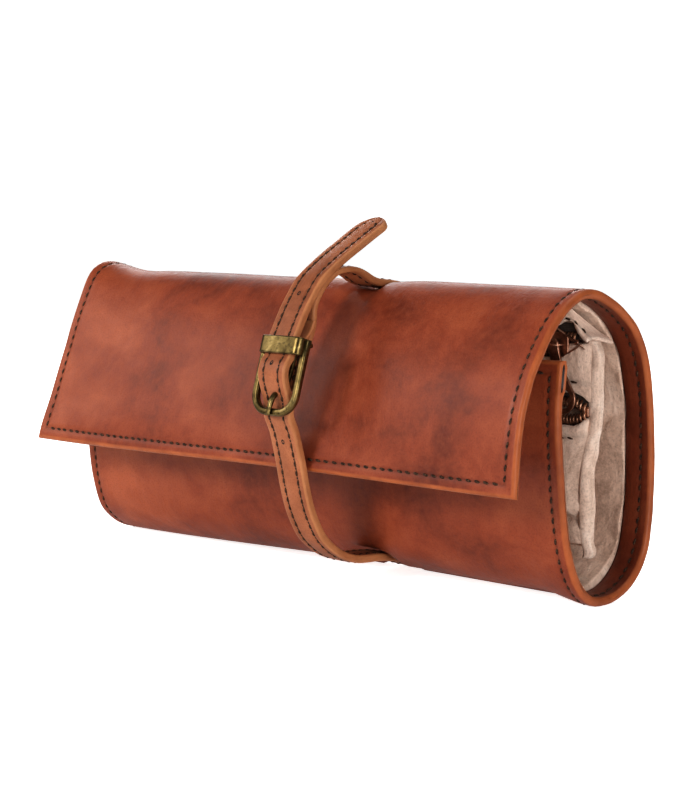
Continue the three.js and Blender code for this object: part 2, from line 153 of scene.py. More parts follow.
# ---- the rolled sheet ------------------------------------------------------------------
class Sheet:
    """The outer face of the rolled leather: x along the roll, s along its cross section."""

    def __init__(self):
        fine = 10
        n = (len(RIGHT) - 1) * fine
        self.r = [catmull(RIGHT, k / fine) for k in range(n + 1)]
        self.l = [catmull(LEFT, k / fine) for k in range(n + 1)]
        mid = [((a[0] + b[0]) / 2, (a[1] + b[1]) / 2) for a, b in zip(self.r, self.l)]
        self.s = [0.0]
        for a, b in zip(mid, mid[1:]):
            self.s.append(self.s[-1] + math.dist(a, b))
        self.length = self.s[-1]

    def raw(self, x, s):
        t = (x + HALF) / (2 * HALF)
        s = clamp(s, 0, self.length)
        i = min(max(bisect.bisect_right(self.s, s) - 1, 0), len(self.r) - 2)
        f = (s - self.s[i]) / max(self.s[i + 1] - self.s[i], 1e-9)
        out = []
        for k in (0, 1):
            a = self.l[i][k] + (self.l[i + 1][k] - self.l[i][k]) * f
            b = self.r[i][k] + (self.r[i + 1][k] - self.r[i][k]) * f
            out.append(a + (b - a) * t)
        return out

    def frame(self, x, s):
        a, b = self.raw(x, s - 1.2), self.raw(x, s + 1.2)
        length = math.dist(a, b) or 1.0
        return self.raw(x, s), ((b[1] - a[1]) / length, -(b[0] - a[0]) / length)

    def near(self, q, x=0.0):
        return min(self.s, key=lambda s: math.dist(self.raw(x, s), q))

    def press(self, x, s):
        """How far the base is pressed in over the strap, so that both lie on the surface."""
        if s < BASE_FROM or s > BASE_TO:
            return 0.0
        (y, z), inward = self.frame(x, s)
        z += 1.5 * smooth((8 - y) / 9)
        down = max(inward[1], 0.0)
        if down < 0.25:
            return 0.0
        need = (1.7 + min(0.38 * max(5 - y, 0), 1.9 + 0.17 * abs(y)) + STRAP_T - z) / down
        across = 1 - smooth((abs(x - STRAP_X + 0.6) - 6.8) / 3.6)
        return max(0.0, need) * across

    def relief(self, x, s):
        """Soft unevenness of the leather, outwards."""
        flap = smooth((FLAP_TOP - s) / 30 + 0.5)
        wall = smooth((s - BASE_TO) / 40)
        v = (0.75 * n3(x / 62, s / 70, 3.1) + 0.30 * n3(x / 25, s / 30, 7.7)
             + 0.07 * n3(x / 8, s / 9, 1.3))
        v *= 0.35 + 0.65 * max(flap, wall * 0.7)
        # drawn in by the strap, and the shallow hollows beside it
        v -= (1.5 * bell((x - STRAP_X) / 13) * smooth((s - 10) / 30)
              * smooth((70 - abs(s - 70)) / 25) * 0.8)
        v -= 1.2 * bell((x - STRAP_X - 17) / 12) * bell((s - 34) / 26)
        v -= 0.8 * bell((x - STRAP_X + 20) / 14) * bell((s - 44) / 26)
        # pressed down where the strap crosses the top
        v -= 3.3 * bell((s - TOP_PRESS) / 17) * (1 - smooth((abs(x - 25.0) - 6.5) / 1.7))
        v -= 0.9 * bell((x + 72) / 22) * bell((s - FLAP_TOP) / 22)
        v -= 0.9 * bell((x - 78) / 24) * bell((s - 52) / 20)
        v += 0.5 * bell((x - 52) / 16) * bell((s - 40) / 22)
        v += 2.2 * bell((x - 45) / 13) * bell((s - CORNER) / 9)
        # the left end of the top stands up a little, with a shallow hollow beside it
        v += (2.2 * bell((x + 117) / 9) * bell((s - FLAP_TOP + 8) / 15)
              - (1.5 * bell((x + 94) / 14) + 0.6 * bell((x + 18) / 40)) * bell((s - FLAP_TOP) / 21))
        # the free edge of the flap is a little wavy
        v += smooth((16 - s) / 16) * (0.5 * math.sin(x / 23 + 0.6) + 0.4 * n3(x / 17, 0.5, 9.2))
        return v * smooth(self.raw(x, s)[1] / 9)

    def point(self, x, s, d):
        (y, z), inward = self.frame(x, s)
        d = d + self.press(x, s) - self.relief(x, s)
        sag = 0.35 * math.sin(x / 31 + 1.1) * smooth((10 - s) / 10)
        # the front of the base stands clear of the table between its ends
        if s > BASE_FROM:
            sag += (BASE_LIFT * smooth((x + 110) / 150) * smooth((113 - x) / 20)
                    * smooth((8 - y) / 9) * smooth((27 - z) / 18))
        return Vector((x, y + inward[0] * d, max(z + inward[1] * d + sag, 0.02)))


sheet = Sheet()
FLAP_TOP = sheet.near((-8, 104))
TOP_PRESS = sheet.near((-0.5, 102.0), 25)
BASE_FROM = sheet.near((24.5, 18))
BASE_TO = sheet.near((-20, 13))
SHEET_SEAM = sheet.near((4.5, 0.2))
CORNER = sheet.near((-15, 9), 40)


# ---- meshes ----------------------------------------------------------------------------
def new_mesh(name, verts, faces, materials, face_material=None, attributes=None):
    me = bpy.data.meshes.new(name)
    me.from_pydata([tuple(c * MM for c in v) for v in verts], [], faces)
    for m in materials:
        me.materials.append(m)
    if face_material:
        me.polygons.foreach_set("material_index", face_material)
    me.polygons.foreach_set("use_smooth", [True] * len(me.polygons))
    for key, (kind, values) in (attributes or {}).items():
        a = me.attributes.new(key, kind, "POINT")
        if kind == "FLOAT_VECTOR":
            a.data.foreach_set("vector", [c for v in values for c in v])
        else:
            a.data.foreach_set("value", values)
    me.validate()
    me.update()
    obj = bpy.data.objects.new(name, me)
    bpy.context.scene.collection.objects.link(obj)
    return obj


def near_edges(a0, a1, size, r, start=True, end=True, extra=()):
    """Stations from a0 to a1, close together where the border is rounded and round a seam."""
    fine = [0, 0.04, 0.16, 0.36, 0.64, 1.0, 1.5]
    marks = set(steps(a0, a1, size))
    lo = {a0 + f * r for f in fine} | {a0 + e for e in extra} if start else set()
    hi = {a1 - f * r for f in fine} | {a1 - e for e in extra} if end else set()
    keep = [m for m in marks
            if (not start or m > a0 + 1.7 * r) and (not end or m < a1 - 1.7 * r)]
    out = sorted(set(keep) | lo | hi | {a0, a1})
    clean = [out[0]]
    for v in out[1:]:
        if v - clean[-1] > min(0.03 * r, 0.02):
            clean.append(v)
    return clean


GROOVE_ROWS = (0.18, 0.25, 0.5, 0.75, 0.82)   # rows across the edge; the middle three sink in


def slab(name, place, across, along, thick, materials, r=None, open_start=False, open_end=False,
         groove=None, wide=None, seam_shade=None, offset=(0, 0), rim_width=1.5):
    """A closed sheet: place(a, s, d, side) gives the point at depth d under the outer face.
    side is 0 on the outer face, 1 on the inner face and 2 round the edge.
    Its border is rounded, except where it is open to carry on in the next piece.
    groove(a, s) is how deep the edge is split, the seam function (a, s, b) how near a stitch line is;
    both are stored as painted shade for the colour."""
    a0, a1, s0, s1 = across[0], across[-1], along[0], along[-1]
    na, ns = len(across), len(along)
    verts, rims, flats, seams = [], [], [], []

    def border(a, s):
        b = min(a - a0, a1 - a) * (wide(s) if wide else 1.0)
        if not open_start:
            b = min(b, s - s0)
        if not open_end:
            b = min(b, s1 - s)
        return b

    def rounding(a, s, t):
        return min((r(a, s) if callable(r) else r) or t / 2, t / 2 * 0.985)

    def add(a, s, d, side, b, deep=0.0):
        verts.append(place(a, s, d, side))
        rims.append(clamp(1.3 - b / rim_width) if side < 2 else 1.3 - deep)
        flats.append((a + offset[0], s + offset[1], d))
        # painted shade: along the stitch line, and strongest deep inside the split groove
        seams.append((seam_shade(a, s, b) if seam_shade else 0.0) + 4 * deep)
        return len(verts) - 1

    grids = []
    for side in (0, 1):
        grid = []
        for s in along:
            row = []
            for a in across:
                b = border(a, s)
                t = thick(a, s) if callable(thick) else thick
                rr = rounding(a, s, t)
                cut = rr - math.sqrt(max(rr * rr - (rr - clamp(b, 0, rr)) ** 2, 0)) if b < rr else 0.0
                row.append(add(a, s, cut if side == 0 else t - cut, side, b))
            grid.append(row)
        grids.append(grid)
    faces = []
    for side, grid in enumerate(grids):
        for j in range(ns - 1):
            for i in range(na - 1):
                q = (grid[j][i], grid[j][i + 1], grid[j + 1][i + 1], grid[j + 1][i])
                faces.append(q if side == 0 else q[::-1])
    ring = ([(0, i) for i in range(na)] + [(j, na - 1) for j in range(1, ns)]
            + [(ns - 1, i) for i in range(na - 2, -1, -1)] + [(j, 0) for j in range(ns - 2, 0, -1)])
    rows = []
    for f in GROOVE_ROWS if groove else (0.5,):
        row = []
        for j, i in ring:
            a, s = across[i], along[j]
            t = thick(a, s) if callable(thick) else thick
            rr = rounding(a, s, t)
            open_here = (j == 0 and open_start) or (j == ns - 1 and open_end)
            lo, hi = (0, t) if open_here and 0 < i < na - 1 else (rr, t - rr)
            inset = groove(a, s) if groove and f not in (GROOVE_ROWS[0], GROOVE_ROWS[-1]) else 0.0
            aa = a + inset * (1 if i == 0 else -1 if i == na - 1 else 0)
            row.append(add(aa, s, lo + (hi - lo) * f, 2, 0, inset))
        rows.append(row)
    loops = ([[grids[0][j][i] for j, i in ring]] + rows + [[grids[1][j][i] for j, i in ring]])
    n = len(ring)
    for a, b in zip(loops, loops[1:]):
        for k in range(n):
            faces.append((a[(k + 1) % n], a[k], b[k], b[(k + 1) % n]))
    obj = new_mesh(name, verts, faces, materials, attributes={
        "rim": ("FLOAT", rims), "flat": ("FLOAT_VECTOR", flats), "seam_shade": ("FLOAT", seams)})
    # where it carries on in the next piece, the surface is shaded straight through
    joins = [j for j, is_open in ((0, open_start), (ns - 1, open_end)) if is_open]
    ends = {v for grid in grids for j in joins for v in grid[j]}
    ends |= {row[k] for row in rows for k, (j, i) in enumerate(ring)
             if j in joins and i in (0, na - 1)}
    for e in obj.data.edges:
        if joins and e.vertices[0] in ends and e.vertices[1] in ends:
            e.use_edge_sharp = True
    return obj


def flip_if_inside_out(obj):
    me = obj.data
    volume = 0.0
    for p in me.polygons:
        c = [me.vertices[i].co for i in p.vertices]
        for k in range(1, len(c) - 1):
            volume += c[0].dot(c[k].cross(c[k + 1]))
    if volume < 0:
        me.flip_normals()
    return obj


def sweep(points, section, normal, scale=None):
    """verts, faces of a section (u, v) carried along points, with both ends closed.
    v runs along normal(k), u across."""
    n, m = len(points), len(section)
    verts, faces = [], []
    for k, p in enumerate(points):
        a = points[k - 1] if k else p
        b = points[k + 1] if k < n - 1 else p
        t = (Vector(b) - Vector(a)).normalized()
        nn = Vector(normal(k) if callable(normal) else normal)
        nn = (nn - t * nn.dot(t)).normalized()
        side = t.cross(nn)
        g = scale(k / (n - 1)) if scale else 1.0
        for u, v in section:
            verts.append(Vector(p) + side * (u * g) + nn * (v * g))
    for k in range(n - 1):
        for i in range(m):
            a, b = k * m + i, k * m + (i + 1) % m
            faces.append((a, b, b + m, a + m))
    faces.append(tuple(range(m))[::-1])
    faces.append(tuple((n - 1) * m + i for i in range(m)))
    return verts, faces


def superellipse(w, h, n=16, power=4.0):
    out = []
    for k in range(n):
        t = 2 * math.pi * (k + 0.5) / n
        c, s = math.cos(t), math.sin(t)
        out.append((w / 2 * math.copysign(abs(c) ** (2 / power), c),
                    h / 2 * math.copysign(abs(s) ** (2 / power), s)))
    return out


def merged(name, parts, materials, which=None):
    verts, faces, index = [], [], []
    for k, (v, f) in enumerate(parts):
        base = len(verts)
        verts += list(v)
        faces += [tuple(i + base for i in q) for q in f]
        index += [which[k] if which else 0] * len(f)
    return new_mesh(name, verts, faces, materials, index)


def stitch(p0, p1, up, radius=0.40, rise=0.34, sides=6, rings=6):
    """One thread of a seam, from hole to hole."""
    p0, p1, up = Vector(p0), Vector(p1), Vector(up)
    line = p1 - p0
    side = line.cross(up).normalized()
    verts, faces = [], []
    for k in range(rings):
        t = k / (rings - 1)
        g = math.sin(math.pi * (0.06 + 0.88 * t)) ** 0.45
        c = p0 + line * t + up * (rise * math.sin(math.pi * t) - 0.16)
        for j in range(sides):
            w = 2 * math.pi * j / sides
            v = c + (side * math.cos(w) * 1.1 + up * math.sin(w) * 0.8) * (radius * g)
            verts.append(Vector((v.x, v.y, max(v.z, STITCH_Z))))
    for k in range(rings - 1):
        for j in range(sides):
            a, b = k * sides + j, k * sides + (j + 1) % sides
            faces.append((a, b, b + sides, a + sides))
    faces.append(tuple(range(sides))[::-1])
    faces.append(tuple((rings - 1) * sides + j for j in range(sides)))
    return verts, faces


def hole(p, up, along, r=0.62):
    """The prick of an awl: a shallow oval dish set into the surface, clear of the table, painted near
    black as the shade inside the hole.
    """
    p, up = Vector(p), Vector(up).normalized()
    along = Vector(along).normalized()
    side = up.cross(along).normalized()
    p.z = max(p.z, HOLE_Z)
    verts = [p - up * 0.1]
    n = 8
    for ring, lift in ((0.6, 0.02), (1.0, 0.055)):
        for j in range(n):
            w = 2 * math.pi * j / n
            reach = along * math.cos(w) * 0.8 + side * math.sin(w) * 0.62
            verts.append(p + up * lift + reach * (r * ring))
    faces = [(0, 1 + j, 1 + (j + 1) % n) for j in range(n)]
    faces += [(1 + j, 1 + n + j, 1 + n + (j + 1) % n, 1 + (j + 1) % n) for j in range(n)]
    return verts, faces


def seam_parts(line, normal, pitch=PITCH, slant=0.26, radius=0.41, rise=0.36, seed=1.0, r_hole=0.60):
    """Stitches and holes along a line of points with their outward normals."""
    threads, pricks = [], []
    total = [0.0]
    for a, b in zip(line, line[1:]):
        total.append(total[-1] + (Vector(b) - Vector(a)).length)
    count = max(1, round(total[-1] / pitch))

    def at(s):
        i = min(max(bisect.bisect_right(total, s) - 1, 0), len(line) - 2)
        t = (s - total[i]) / max(total[i + 1] - total[i], 1e-9)
        p = Vector(line[i]).lerp(Vector(line[i + 1]), t)
        nn = Vector(normal[i]).lerp(Vector(normal[i + 1]), t).normalized()
        return p, nn, (Vector(line[i + 1]) - Vector(line[i])).normalized()

    for k in range(count):
        jitter = 0.12 * n3(k * 1.7, seed, 4.4)
        s0 = total[-1] * (k + 0.15 + jitter) / count
        s1 = total[-1] * (k + 0.86 + jitter) / count
        p0, n0, t0 = at(s0)
        p1, n1, _ = at(s1)
        up = (n0 + n1).normalized()
        side = up.cross(t0).normalized()
        skew = slant * (1 + 0.6 * n3(k * 0.9, seed, 8.8))
        threads.append(stitch(p0 + side * skew, p1 - side * skew, up,
                              radius * (1 + 0.12 * n3(k, seed, 2.2)), rise))
        pc, nc, tc = at(total[-1] * k / count)
        pricks.append(hole(pc, nc, tc, r_hole))
    return threads, pricks


def seam_piece(name, lines, thread, dark, **kw):
    threads, pricks = [], []
    for k, (line, normal) in enumerate(lines):
        a, b = seam_parts(line, normal, seed=1.0 + k, **kw)
        threads += a
        pricks += b
    # the holes take the near-black painted shade material
    return merged(name, threads + pricks, [thread, dark], [0] * len(threads) + [1] * len(pricks))


# ---- materials -------------------------------------------------------------------------
class Mat:
    """A node material. coords is a vector in millimetres that stays with the surface."""

    def __init__(self, name, flat=True):
        self.m = bpy.data.materials.new(name)
        self.m.use_nodes = True
        self.nt = self.m.node_tree
        self.nt.nodes.clear()
        self.out = self.nt.nodes.new("ShaderNodeOutputMaterial")
        self.bsdf = self.nt.nodes.new("ShaderNodeBsdfPrincipled")
        self.link(self.bsdf.outputs["BSDF"], self.out.inputs["Surface"])
        if flat:
            self.xyz = self.attribute("flat", "Vector")
        else:
            tc = self.nt.nodes.new("ShaderNodeTexCoord")
            s = self.nt.nodes.new("ShaderNodeVectorMath")
            s.operation = "SCALE"
            self.link(tc.outputs["Object"], s.inputs[0])
            s.inputs["Scale"].default_value = 1000.0
            self.xyz = s.outputs["Vector"]

    def link(self, a, b):
        self.nt.links.new(a, b)

    def attribute(self, name, output="Fac"):
        a = self.nt.nodes.new("ShaderNodeAttribute")
        a.attribute_name = name
        return a.outputs[output]

    def axis(self, name):
        split = self.nt.nodes.new("ShaderNodeSeparateXYZ")
        self.link(self.xyz, split.inputs[0])
        return split.outputs[name]

    def set(self, **values):
        for key, v in values.items():
            socket = self.bsdf.inputs[key.replace("_", " ")]
            socket.default_value = v
        return self

    def scaled(self, sx, sy=None, sz=None, at=(0, 0, 0), turn=0.0):
        n = self.nt.nodes.new("ShaderNodeMapping")
        n.inputs["Scale"].default_value = (sx, sx if sy is None else sy, sx if sz is None else sz)
        n.inputs["Location"].default_value = at
        n.inputs["Rotation"].default_value = (0, 0, turn)
        self.link(self.xyz, n.inputs["Vector"])
        return n.outputs["Vector"]

    def noise(self, sx, sy=None, detail=3.0, rough=0.55, at=(0, 0, 0), warp=0.0, sz=None, turn=0.0):
        n = self.nt.nodes.new("ShaderNodeTexNoise")
        n.inputs["Scale"].default_value = 1.0
        n.inputs["Detail"].default_value = detail
        n.inputs["Roughness"].default_value = rough
        n.inputs["Distortion"].default_value = warp
        self.link(self.scaled(sx, sy, sz, at, turn), n.inputs["Vector"])
        return n.outputs["Fac"]

    def voronoi(self, sx, sy):
        n = self.nt.nodes.new("ShaderNodeTexVoronoi")
        n.inputs["Scale"].default_value = 1.0
        self.link(self.scaled(sx, sy), n.inputs["Vector"])
        return n.outputs["Distance"]

    def ramp(self, fac, *stops):
        """A value between 0 and 1 from (position, value) stops."""
        n = self.nt.nodes.new("ShaderNodeValToRGB")
        e = n.color_ramp.elements
        while len(e) < len(stops):
            e.new(0.5)
        for k, (p, v) in enumerate(stops):
            e[k].position = p
            e[k].color = (v, v, v, 1) if not hasattr(v, "__len__") else (*v, 1)
        self.link(fac, n.inputs["Fac"])
        return n.outputs["Color"]

    def mix(self, fac, a, b, mode="MIX"):
        n = self.nt.nodes.new("ShaderNodeMix")
        n.data_type = "RGBA"
        n.blend_type = mode
        n.clamp_factor = True
        for socket, v in ((n.inputs[0], fac), (n.inputs[6], a), (n.inputs[7], b)):
            if isinstance(v, (int, float)):
                socket.default_value = v
            elif isinstance(v, tuple):
                socket.default_value = (*v, 1)
            else:
                self.link(v, socket)
        return n.outputs[2]

    def math(self, op, a, b=None):
        n = self.nt.nodes.new("ShaderNodeMath")
        n.operation = op
        for socket, v in ((n.inputs[0], a), (n.inputs[1], b)):
            if v is None:
                continue
            if isinstance(v, (int, float)):
                socket.default_value = v
            else:
                self.link(v, socket)
        return n.outputs["Value"]

    def bump(self, height, distance, strength=1.0, after=None):
        n = self.nt.nodes.new("ShaderNodeBump")
        n.inputs["Strength"].default_value = strength
        n.inputs["Distance"].default_value = distance * MM
        self.link(height, n.inputs["Height"])
        if after is not None:
            self.link(after, n.inputs["Normal"])
        return n.outputs["Normal"]

    def done(self, color=None, rough=None, normal=None, metallic=None):
        if color is not None:
            self.link(color, self.bsdf.inputs["Base Color"])
        if rough is not None:
            self.link(rough, self.bsdf.inputs["Roughness"])
        if metallic is not None:
            self.link(metallic, self.bsdf.inputs["Metallic"])
        if normal is not None:
            self.link(normal, self.bsdf.inputs["Normal"])
        return self.m


def leather(name, dark, mid, light, rim, rim_dark, coat=0.12, base_rough=0.42, fine=1.0, wear=1.0,
            inner_shade=0.0):
    m = Mat(name)
    m.set(Coat_Weight=coat, Coat_Roughness=0.25, Specular_IOR_Level=0.30)
    cloud = m.noise(0.016, 0.013, 4, 0.55, at=(3, 7, 1), warp=0.6)
    patch = m.noise(0.055, 0.06, 5, 0.6, at=(9, 2, 4), warp=0.4)
    mottle = m.noise(0.32, 0.3, 4, 0.65, at=(1, 5, 8))
    speck = m.noise(1.6, 1.5, 3, 0.6)
    tone = m.math("ADD", m.math("MULTIPLY", cloud, 0.55), m.math("MULTIPLY", patch, 0.45))
    color = m.ramp(tone, (0.36, dark), (0.50, mid), (0.66, light))
    color = m.mix(m.ramp(mottle, (0.35, 0.0), (0.7, 0.30)), color, light)
    color = m.mix(m.ramp(speck, (0.30, 0.34 * fine), (0.52, 0.0)), color, dark)
    # a few fine scratches, where another noise lets them show
    lines = m.noise(1.5, 0.022, 2, 0.5, at=(4, 4, 4), warp=0.15, turn=0.5)
    where = m.ramp(m.noise(0.045, 0.05, 2, 0.5, at=(8, 1, 2)), (0.50, 0.0), (0.60, 1.0))
    scratch = m.math("MULTIPLY", m.ramp(lines, (0.70, 0.0), (0.74, 1.0)), where)
    scratch = m.math("MULTIPLY", scratch, 0.34 * wear)
    color = m.mix(scratch, color, tuple(min(1, c * 1.5) for c in light))
    # fine rubbed lines
    rubbed = m.noise(0.9, 0.05, 3, 0.7, at=(2, 9, 6), turn=1.2)
    rubbed = m.ramp(rubbed, (0.62, 0.0), (0.78, 0.22 * wear))
    color = m.mix(rubbed, color, light)
    # painted shade along the puckered stitch line, lighter and smoother on the burnished edge
    seam_shade = m.attribute("seam_shade")
    color = m.mix(m.math("MULTIPLY", seam_shade, 0.30), color, tuple(c * 0.4 for c in dark))
    uneven = m.math("MULTIPLY", m.math("SUBTRACT", mottle, 0.5), 0.25)
    rim_at = m.math("ADD", m.attribute("rim"), uneven)
    edge = m.ramp(rim_at, (0.25, 0.0), (0.62, 0.85), (1.0, 1.0))
    burnish = m.ramp(m.noise(0.10, 0.07, 4, 0.6, at=(6, 6, 1)), (0.30, 0.15), (0.68, 1.0))
    edge_color = m.mix(burnish, rim_dark, rim)
    if inner_shade:   # painted shade: the inner side of the fold is darkened as if in shadow
        inner = m.ramp(m.math("MULTIPLY", m.axis("Z"), 0.25), (0.42, 0.0), (0.60, inner_shade))
        color = m.mix(inner, color, tuple(c * 0.30 for c in dark))
    color = m.mix(edge, color, edge_color)
    # painted shade: near black deep inside the split groove of the slot, where the seam value passes
    # 1.2
    color = m.mix(m.math("SUBTRACT", seam_shade, 1.2), color, tuple(c * 0.12 for c in dark))
    rough = m.math("ADD", m.math("MULTIPLY", m.ramp(mottle, (0.3, 0.0), (0.7, 1.0)), 0.13), base_rough)
    rough = m.math("ADD", rough, m.math("MULTIPLY", scratch, 0.2))
    pores = m.voronoi(1.15, 1.05)
    pebble = m.ramp(pores, (0.0, 0.0), (0.45, 1.0))
    folds = m.noise(0.22, 0.07, 5, 0.62, at=(5, 5, 5), warp=0.8, turn=0.35)
    n = m.bump(folds, 0.35, 0.5)
    n = m.bump(m.noise(0.5, 0.5, 4, 0.6, at=(3, 3, 3)), 0.16, 0.5, n)
    n = m.bump(pebble, 0.05 * fine, 0.5, n)
    n = m.bump(speck, 0.05, 0.4, n)
    return m.done(color, rough, n)


def suede(name, dark, mid, light, nap=1.0):
    m = Mat(name)
    m.set(Sheen_Weight=0.35, Sheen_Roughness=0.5, Specular_IOR_Level=0.15)
    m.bsdf.inputs["Sheen Tint"].default_value = (*light, 1)
    cloud = m.noise(0.05, 0.05, 4, 0.6, at=(2, 1, 7), warp=0.7)
    brushed = m.noise(0.22, 0.10, 4, 0.65, at=(7, 3, 1), warp=0.9, turn=0.6)
    grain = m.noise(1.3, 1.2, 4, 0.7)
    color = m.ramp(m.math("ADD", m.math("MULTIPLY", cloud, 0.5), m.math("MULTIPLY", brushed, 0.5)),
                   (0.36, dark), (0.50, mid), (0.64, light))
    color = m.mix(m.ramp(grain, (0.28, 0.55 * nap), (0.50, 0.0)), color, tuple(c * 0.55 for c in dark))
    color = m.mix(m.ramp(grain, (0.52, 0.0), (0.75, 0.45)), color, light)
    # painted shade along the seams and in the stitched valleys between the brush channels
    color = m.mix(m.math("MULTIPLY", m.attribute("seam_shade"), 0.45), color, tuple(c * 0.4 for c in dark))
    rough = m.math("ADD", m.math("MULTIPLY", grain, 0.12), 0.86)
    n = m.bump(m.noise(0.12, 0.09, 3, 0.5, at=(4, 9, 2), warp=0.8), 1.6, 0.6)
    n = m.bump(brushed, 0.6, 0.65, n)
    n = m.bump(grain, 0.34 * nap, 0.7, n)
    n = m.bump(m.noise(3.4, 3.0, 2, 0.6, at=(1, 1, 1)), 0.10 * nap, 0.5, n)
    return m.done(color, rough, n)


def metal(name, dark, mid, bright, rough=0.30, tarnish=0.5):
    m = Mat(name, flat=False)
    m.set(Specular_IOR_Level=0.5)
    cloud = m.noise(0.16, 0.16, 5, 0.62, at=(1, 2, 3), warp=0.5)
    spots = m.noise(0.9, 0.9, 4, 0.65, at=(5, 1, 1))
    scuff = m.noise(3.2, 0.35, 3, 0.6, at=(2, 2, 9), turn=0.7)
    color = m.ramp(cloud, (0.34, dark), (0.52, mid), (0.68, bright))
    color = m.mix(m.ramp(spots, (0.30, tarnish), (0.48, 0.0)), color, tuple(c * 0.45 for c in dark))
    r = m.math("ADD", m.math("MULTIPLY", spots, 0.22), rough)
    n = m.bump(scuff, 0.012, 0.3)
    n = m.bump(spots, 0.015, 0.3, n)
    metallic = m.ramp(spots, (0.25, 0.86), (0.45, 1.0))
    return m.done(color, r, n, metallic)


def thread_material(name, dark, light):
    m = Mat(name, flat=False)
    m.set(Specular_IOR_Level=0.22)
    ply = m.noise(1.9, 1.9, 3, 0.6, sz=1.9)
    strands = m.noise(4.5, 4.5, 2, 0.6, at=(3, 0, 1))
    color = m.mix(m.ramp(ply, (0.40, 0.0), (0.66, 1.0)), dark, light)
    n = m.bump(strands, 0.12, 0.6)
    return m.done(color, m.math("ADD", m.math("MULTIPLY", ply, 0.2), 0.6), n)


def woven(name, dark, light):
    m = Mat(name)
    m.set(Specular_IOR_Level=0.25, Sheen_Weight=0.2)
    rows = []
    for direction in ("X", "Y"):
        w = m.nt.nodes.new("ShaderNodeTexWave")
        w.wave_type = "BANDS"
        w.bands_direction = direction
        w.inputs["Scale"].default_value = 0.55
        w.inputs["Distortion"].default_value = 0.6
        m.link(m.xyz, w.inputs["Vector"])
        rows.append(w.outputs["Fac"])
    weave = m.math("MULTIPLY", rows[0], rows[1])
    dust = m.noise(0.6, 0.6, 4, 0.6)
    color = m.mix(m.ramp(weave, (0.05, 0.0), (0.7, 1.0)), dark, light)
    color = m.mix(m.ramp(dust, (0.5, 0.0), (0.8, 0.35)), color, light)
    n = m.bump(weave, 0.16, 0.7)
    return m.done(color, m.math("ADD", m.math("MULTIPLY", dust, 0.15), 0.75), n)


# a near-black material for painted shade
def painted_shade_material(name, color):
    m = Mat(name, flat=False)
    c = m.mix(m.noise(2.0, 2.0, 2, 0.5), tuple(v * 0.5 for v in color), color)
    return m.done(c, m.math("ADD", m.math("MULTIPLY", m.noise(1.0, 1.0), 0.1), 0.7))


OUTER = leather(
    "outer_leather_grain", (0.135, 0.022, 0.0085), (0.260, 0.052, 0.0195), (0.400, 0.105, 0.042),
    (0.47, 0.140, 0.043), (0.27, 0.066, 0.020), coat=0.07, inner_shade=0.32)
STRAP = leather(
    "strap_leather_grain", (0.210, 0.062, 0.024), (0.370, 0.128, 0.054), (0.52, 0.215, 0.105),
    (0.53, 0.240, 0.105), (0.32, 0.115, 0.045), coat=0.05, base_rough=0.45, fine=1.2, wear=1.4)
SUEDE = suede("suede_nap", (0.54, 0.38, 0.295), (0.78, 0.59, 0.48), (0.92, 0.76, 0.65))
LINING_SUEDE = suede("lining_suede_nap", (0.48, 0.315, 0.235), (0.76, 0.55, 0.43),
                     (0.93, 0.73, 0.60), nap=0.8)
BRASS = metal("aged_brass", (0.070, 0.048, 0.018), (0.180, 0.130, 0.051),
              (0.36, 0.27, 0.125), rough=0.23, tarnish=0.75)
COPPER = metal("aged_zip_metal", (0.20, 0.095, 0.058), (0.40, 0.205, 0.135),
               (0.62, 0.36, 0.25), rough=0.26, tarnish=0.5)
TEETH = metal("coil_teeth", (0.14, 0.065, 0.038), (0.36, 0.190, 0.115),
              (0.60, 0.36, 0.24), rough=0.30, tarnish=0.4)
TEETH.node_tree.nodes["Principled BSDF"].inputs["Coat Weight"].default_value = 0.2
TAPE = woven("zip_tape_weave", (0.030, 0.018, 0.012), (0.095, 0.058, 0.040))
THREAD = thread_material("brown_thread", (0.022, 0.010, 0.006), (0.120, 0.062, 0.036))
# painted shade: the awl holes are near black for the shade inside them
HOLE_SHADE = painted_shade_material("awl_hole_painted_shade", (0.016, 0.008, 0.005))


def finish_piece(obj, body=None, blend=None, replaces=(), shade=None, flat=None):
    flip_if_inside_out(obj)
    if blend:
        a, b, start, end = blend
        tuple(c * MM for c in start)
        tuple(c * MM for c in end)
        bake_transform(obj)
    else:
        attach(obj, body)
    if replaces:
        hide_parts(*replaces)
    if flat:
        tuple(c * MM for c in flat)
    return obj


FLAP_BLEND = ("case", "flap", (0, -3, 104), (0, -19, 104))
WALL_BLEND = ("case", "front_wall", (0, -15, 3), (0, -25, 13))

# ---- outer leather ---------------------------------------------------------------------
def outer_thick(x, s):
    b = min(HALF - abs(x), s, sheet.length - s)
    fold = 0.9 * smooth((14 - sheet.length + s) / 8) * smooth((x - 104) / 6)
    return LEATHER + (EDGE_THICK - LEATHER + fold) * clamp((HEM + 0.3 - b) / 0.5)


def outer_place(x, s, d, side):
    b = min(HALF - abs(x), s if s < SHEET_SEAM else sheet.length - s)
    pucker = 0.30 * bell((b - SEAM) / 0.75)
    if side == 0:
        d += pucker
    elif side == 1 and b < HEM:
        d -= pucker * 0.8 - 0.12 * n3(x / 6, s / 6, 5.0)
    # the rim isn't quite straight
    waver = 0.45 * n3(s / 24, 2.0, x / 200) + 0.15 * n3(s / 7, 5.0, x / 200)
    return sheet.point(x + waver * smooth((8 - b) / 8) * (1 if x > 0 else -1), s, d)


def outer_seam_shade(x, s, b):
    return bell((b - SEAM) / 0.65)


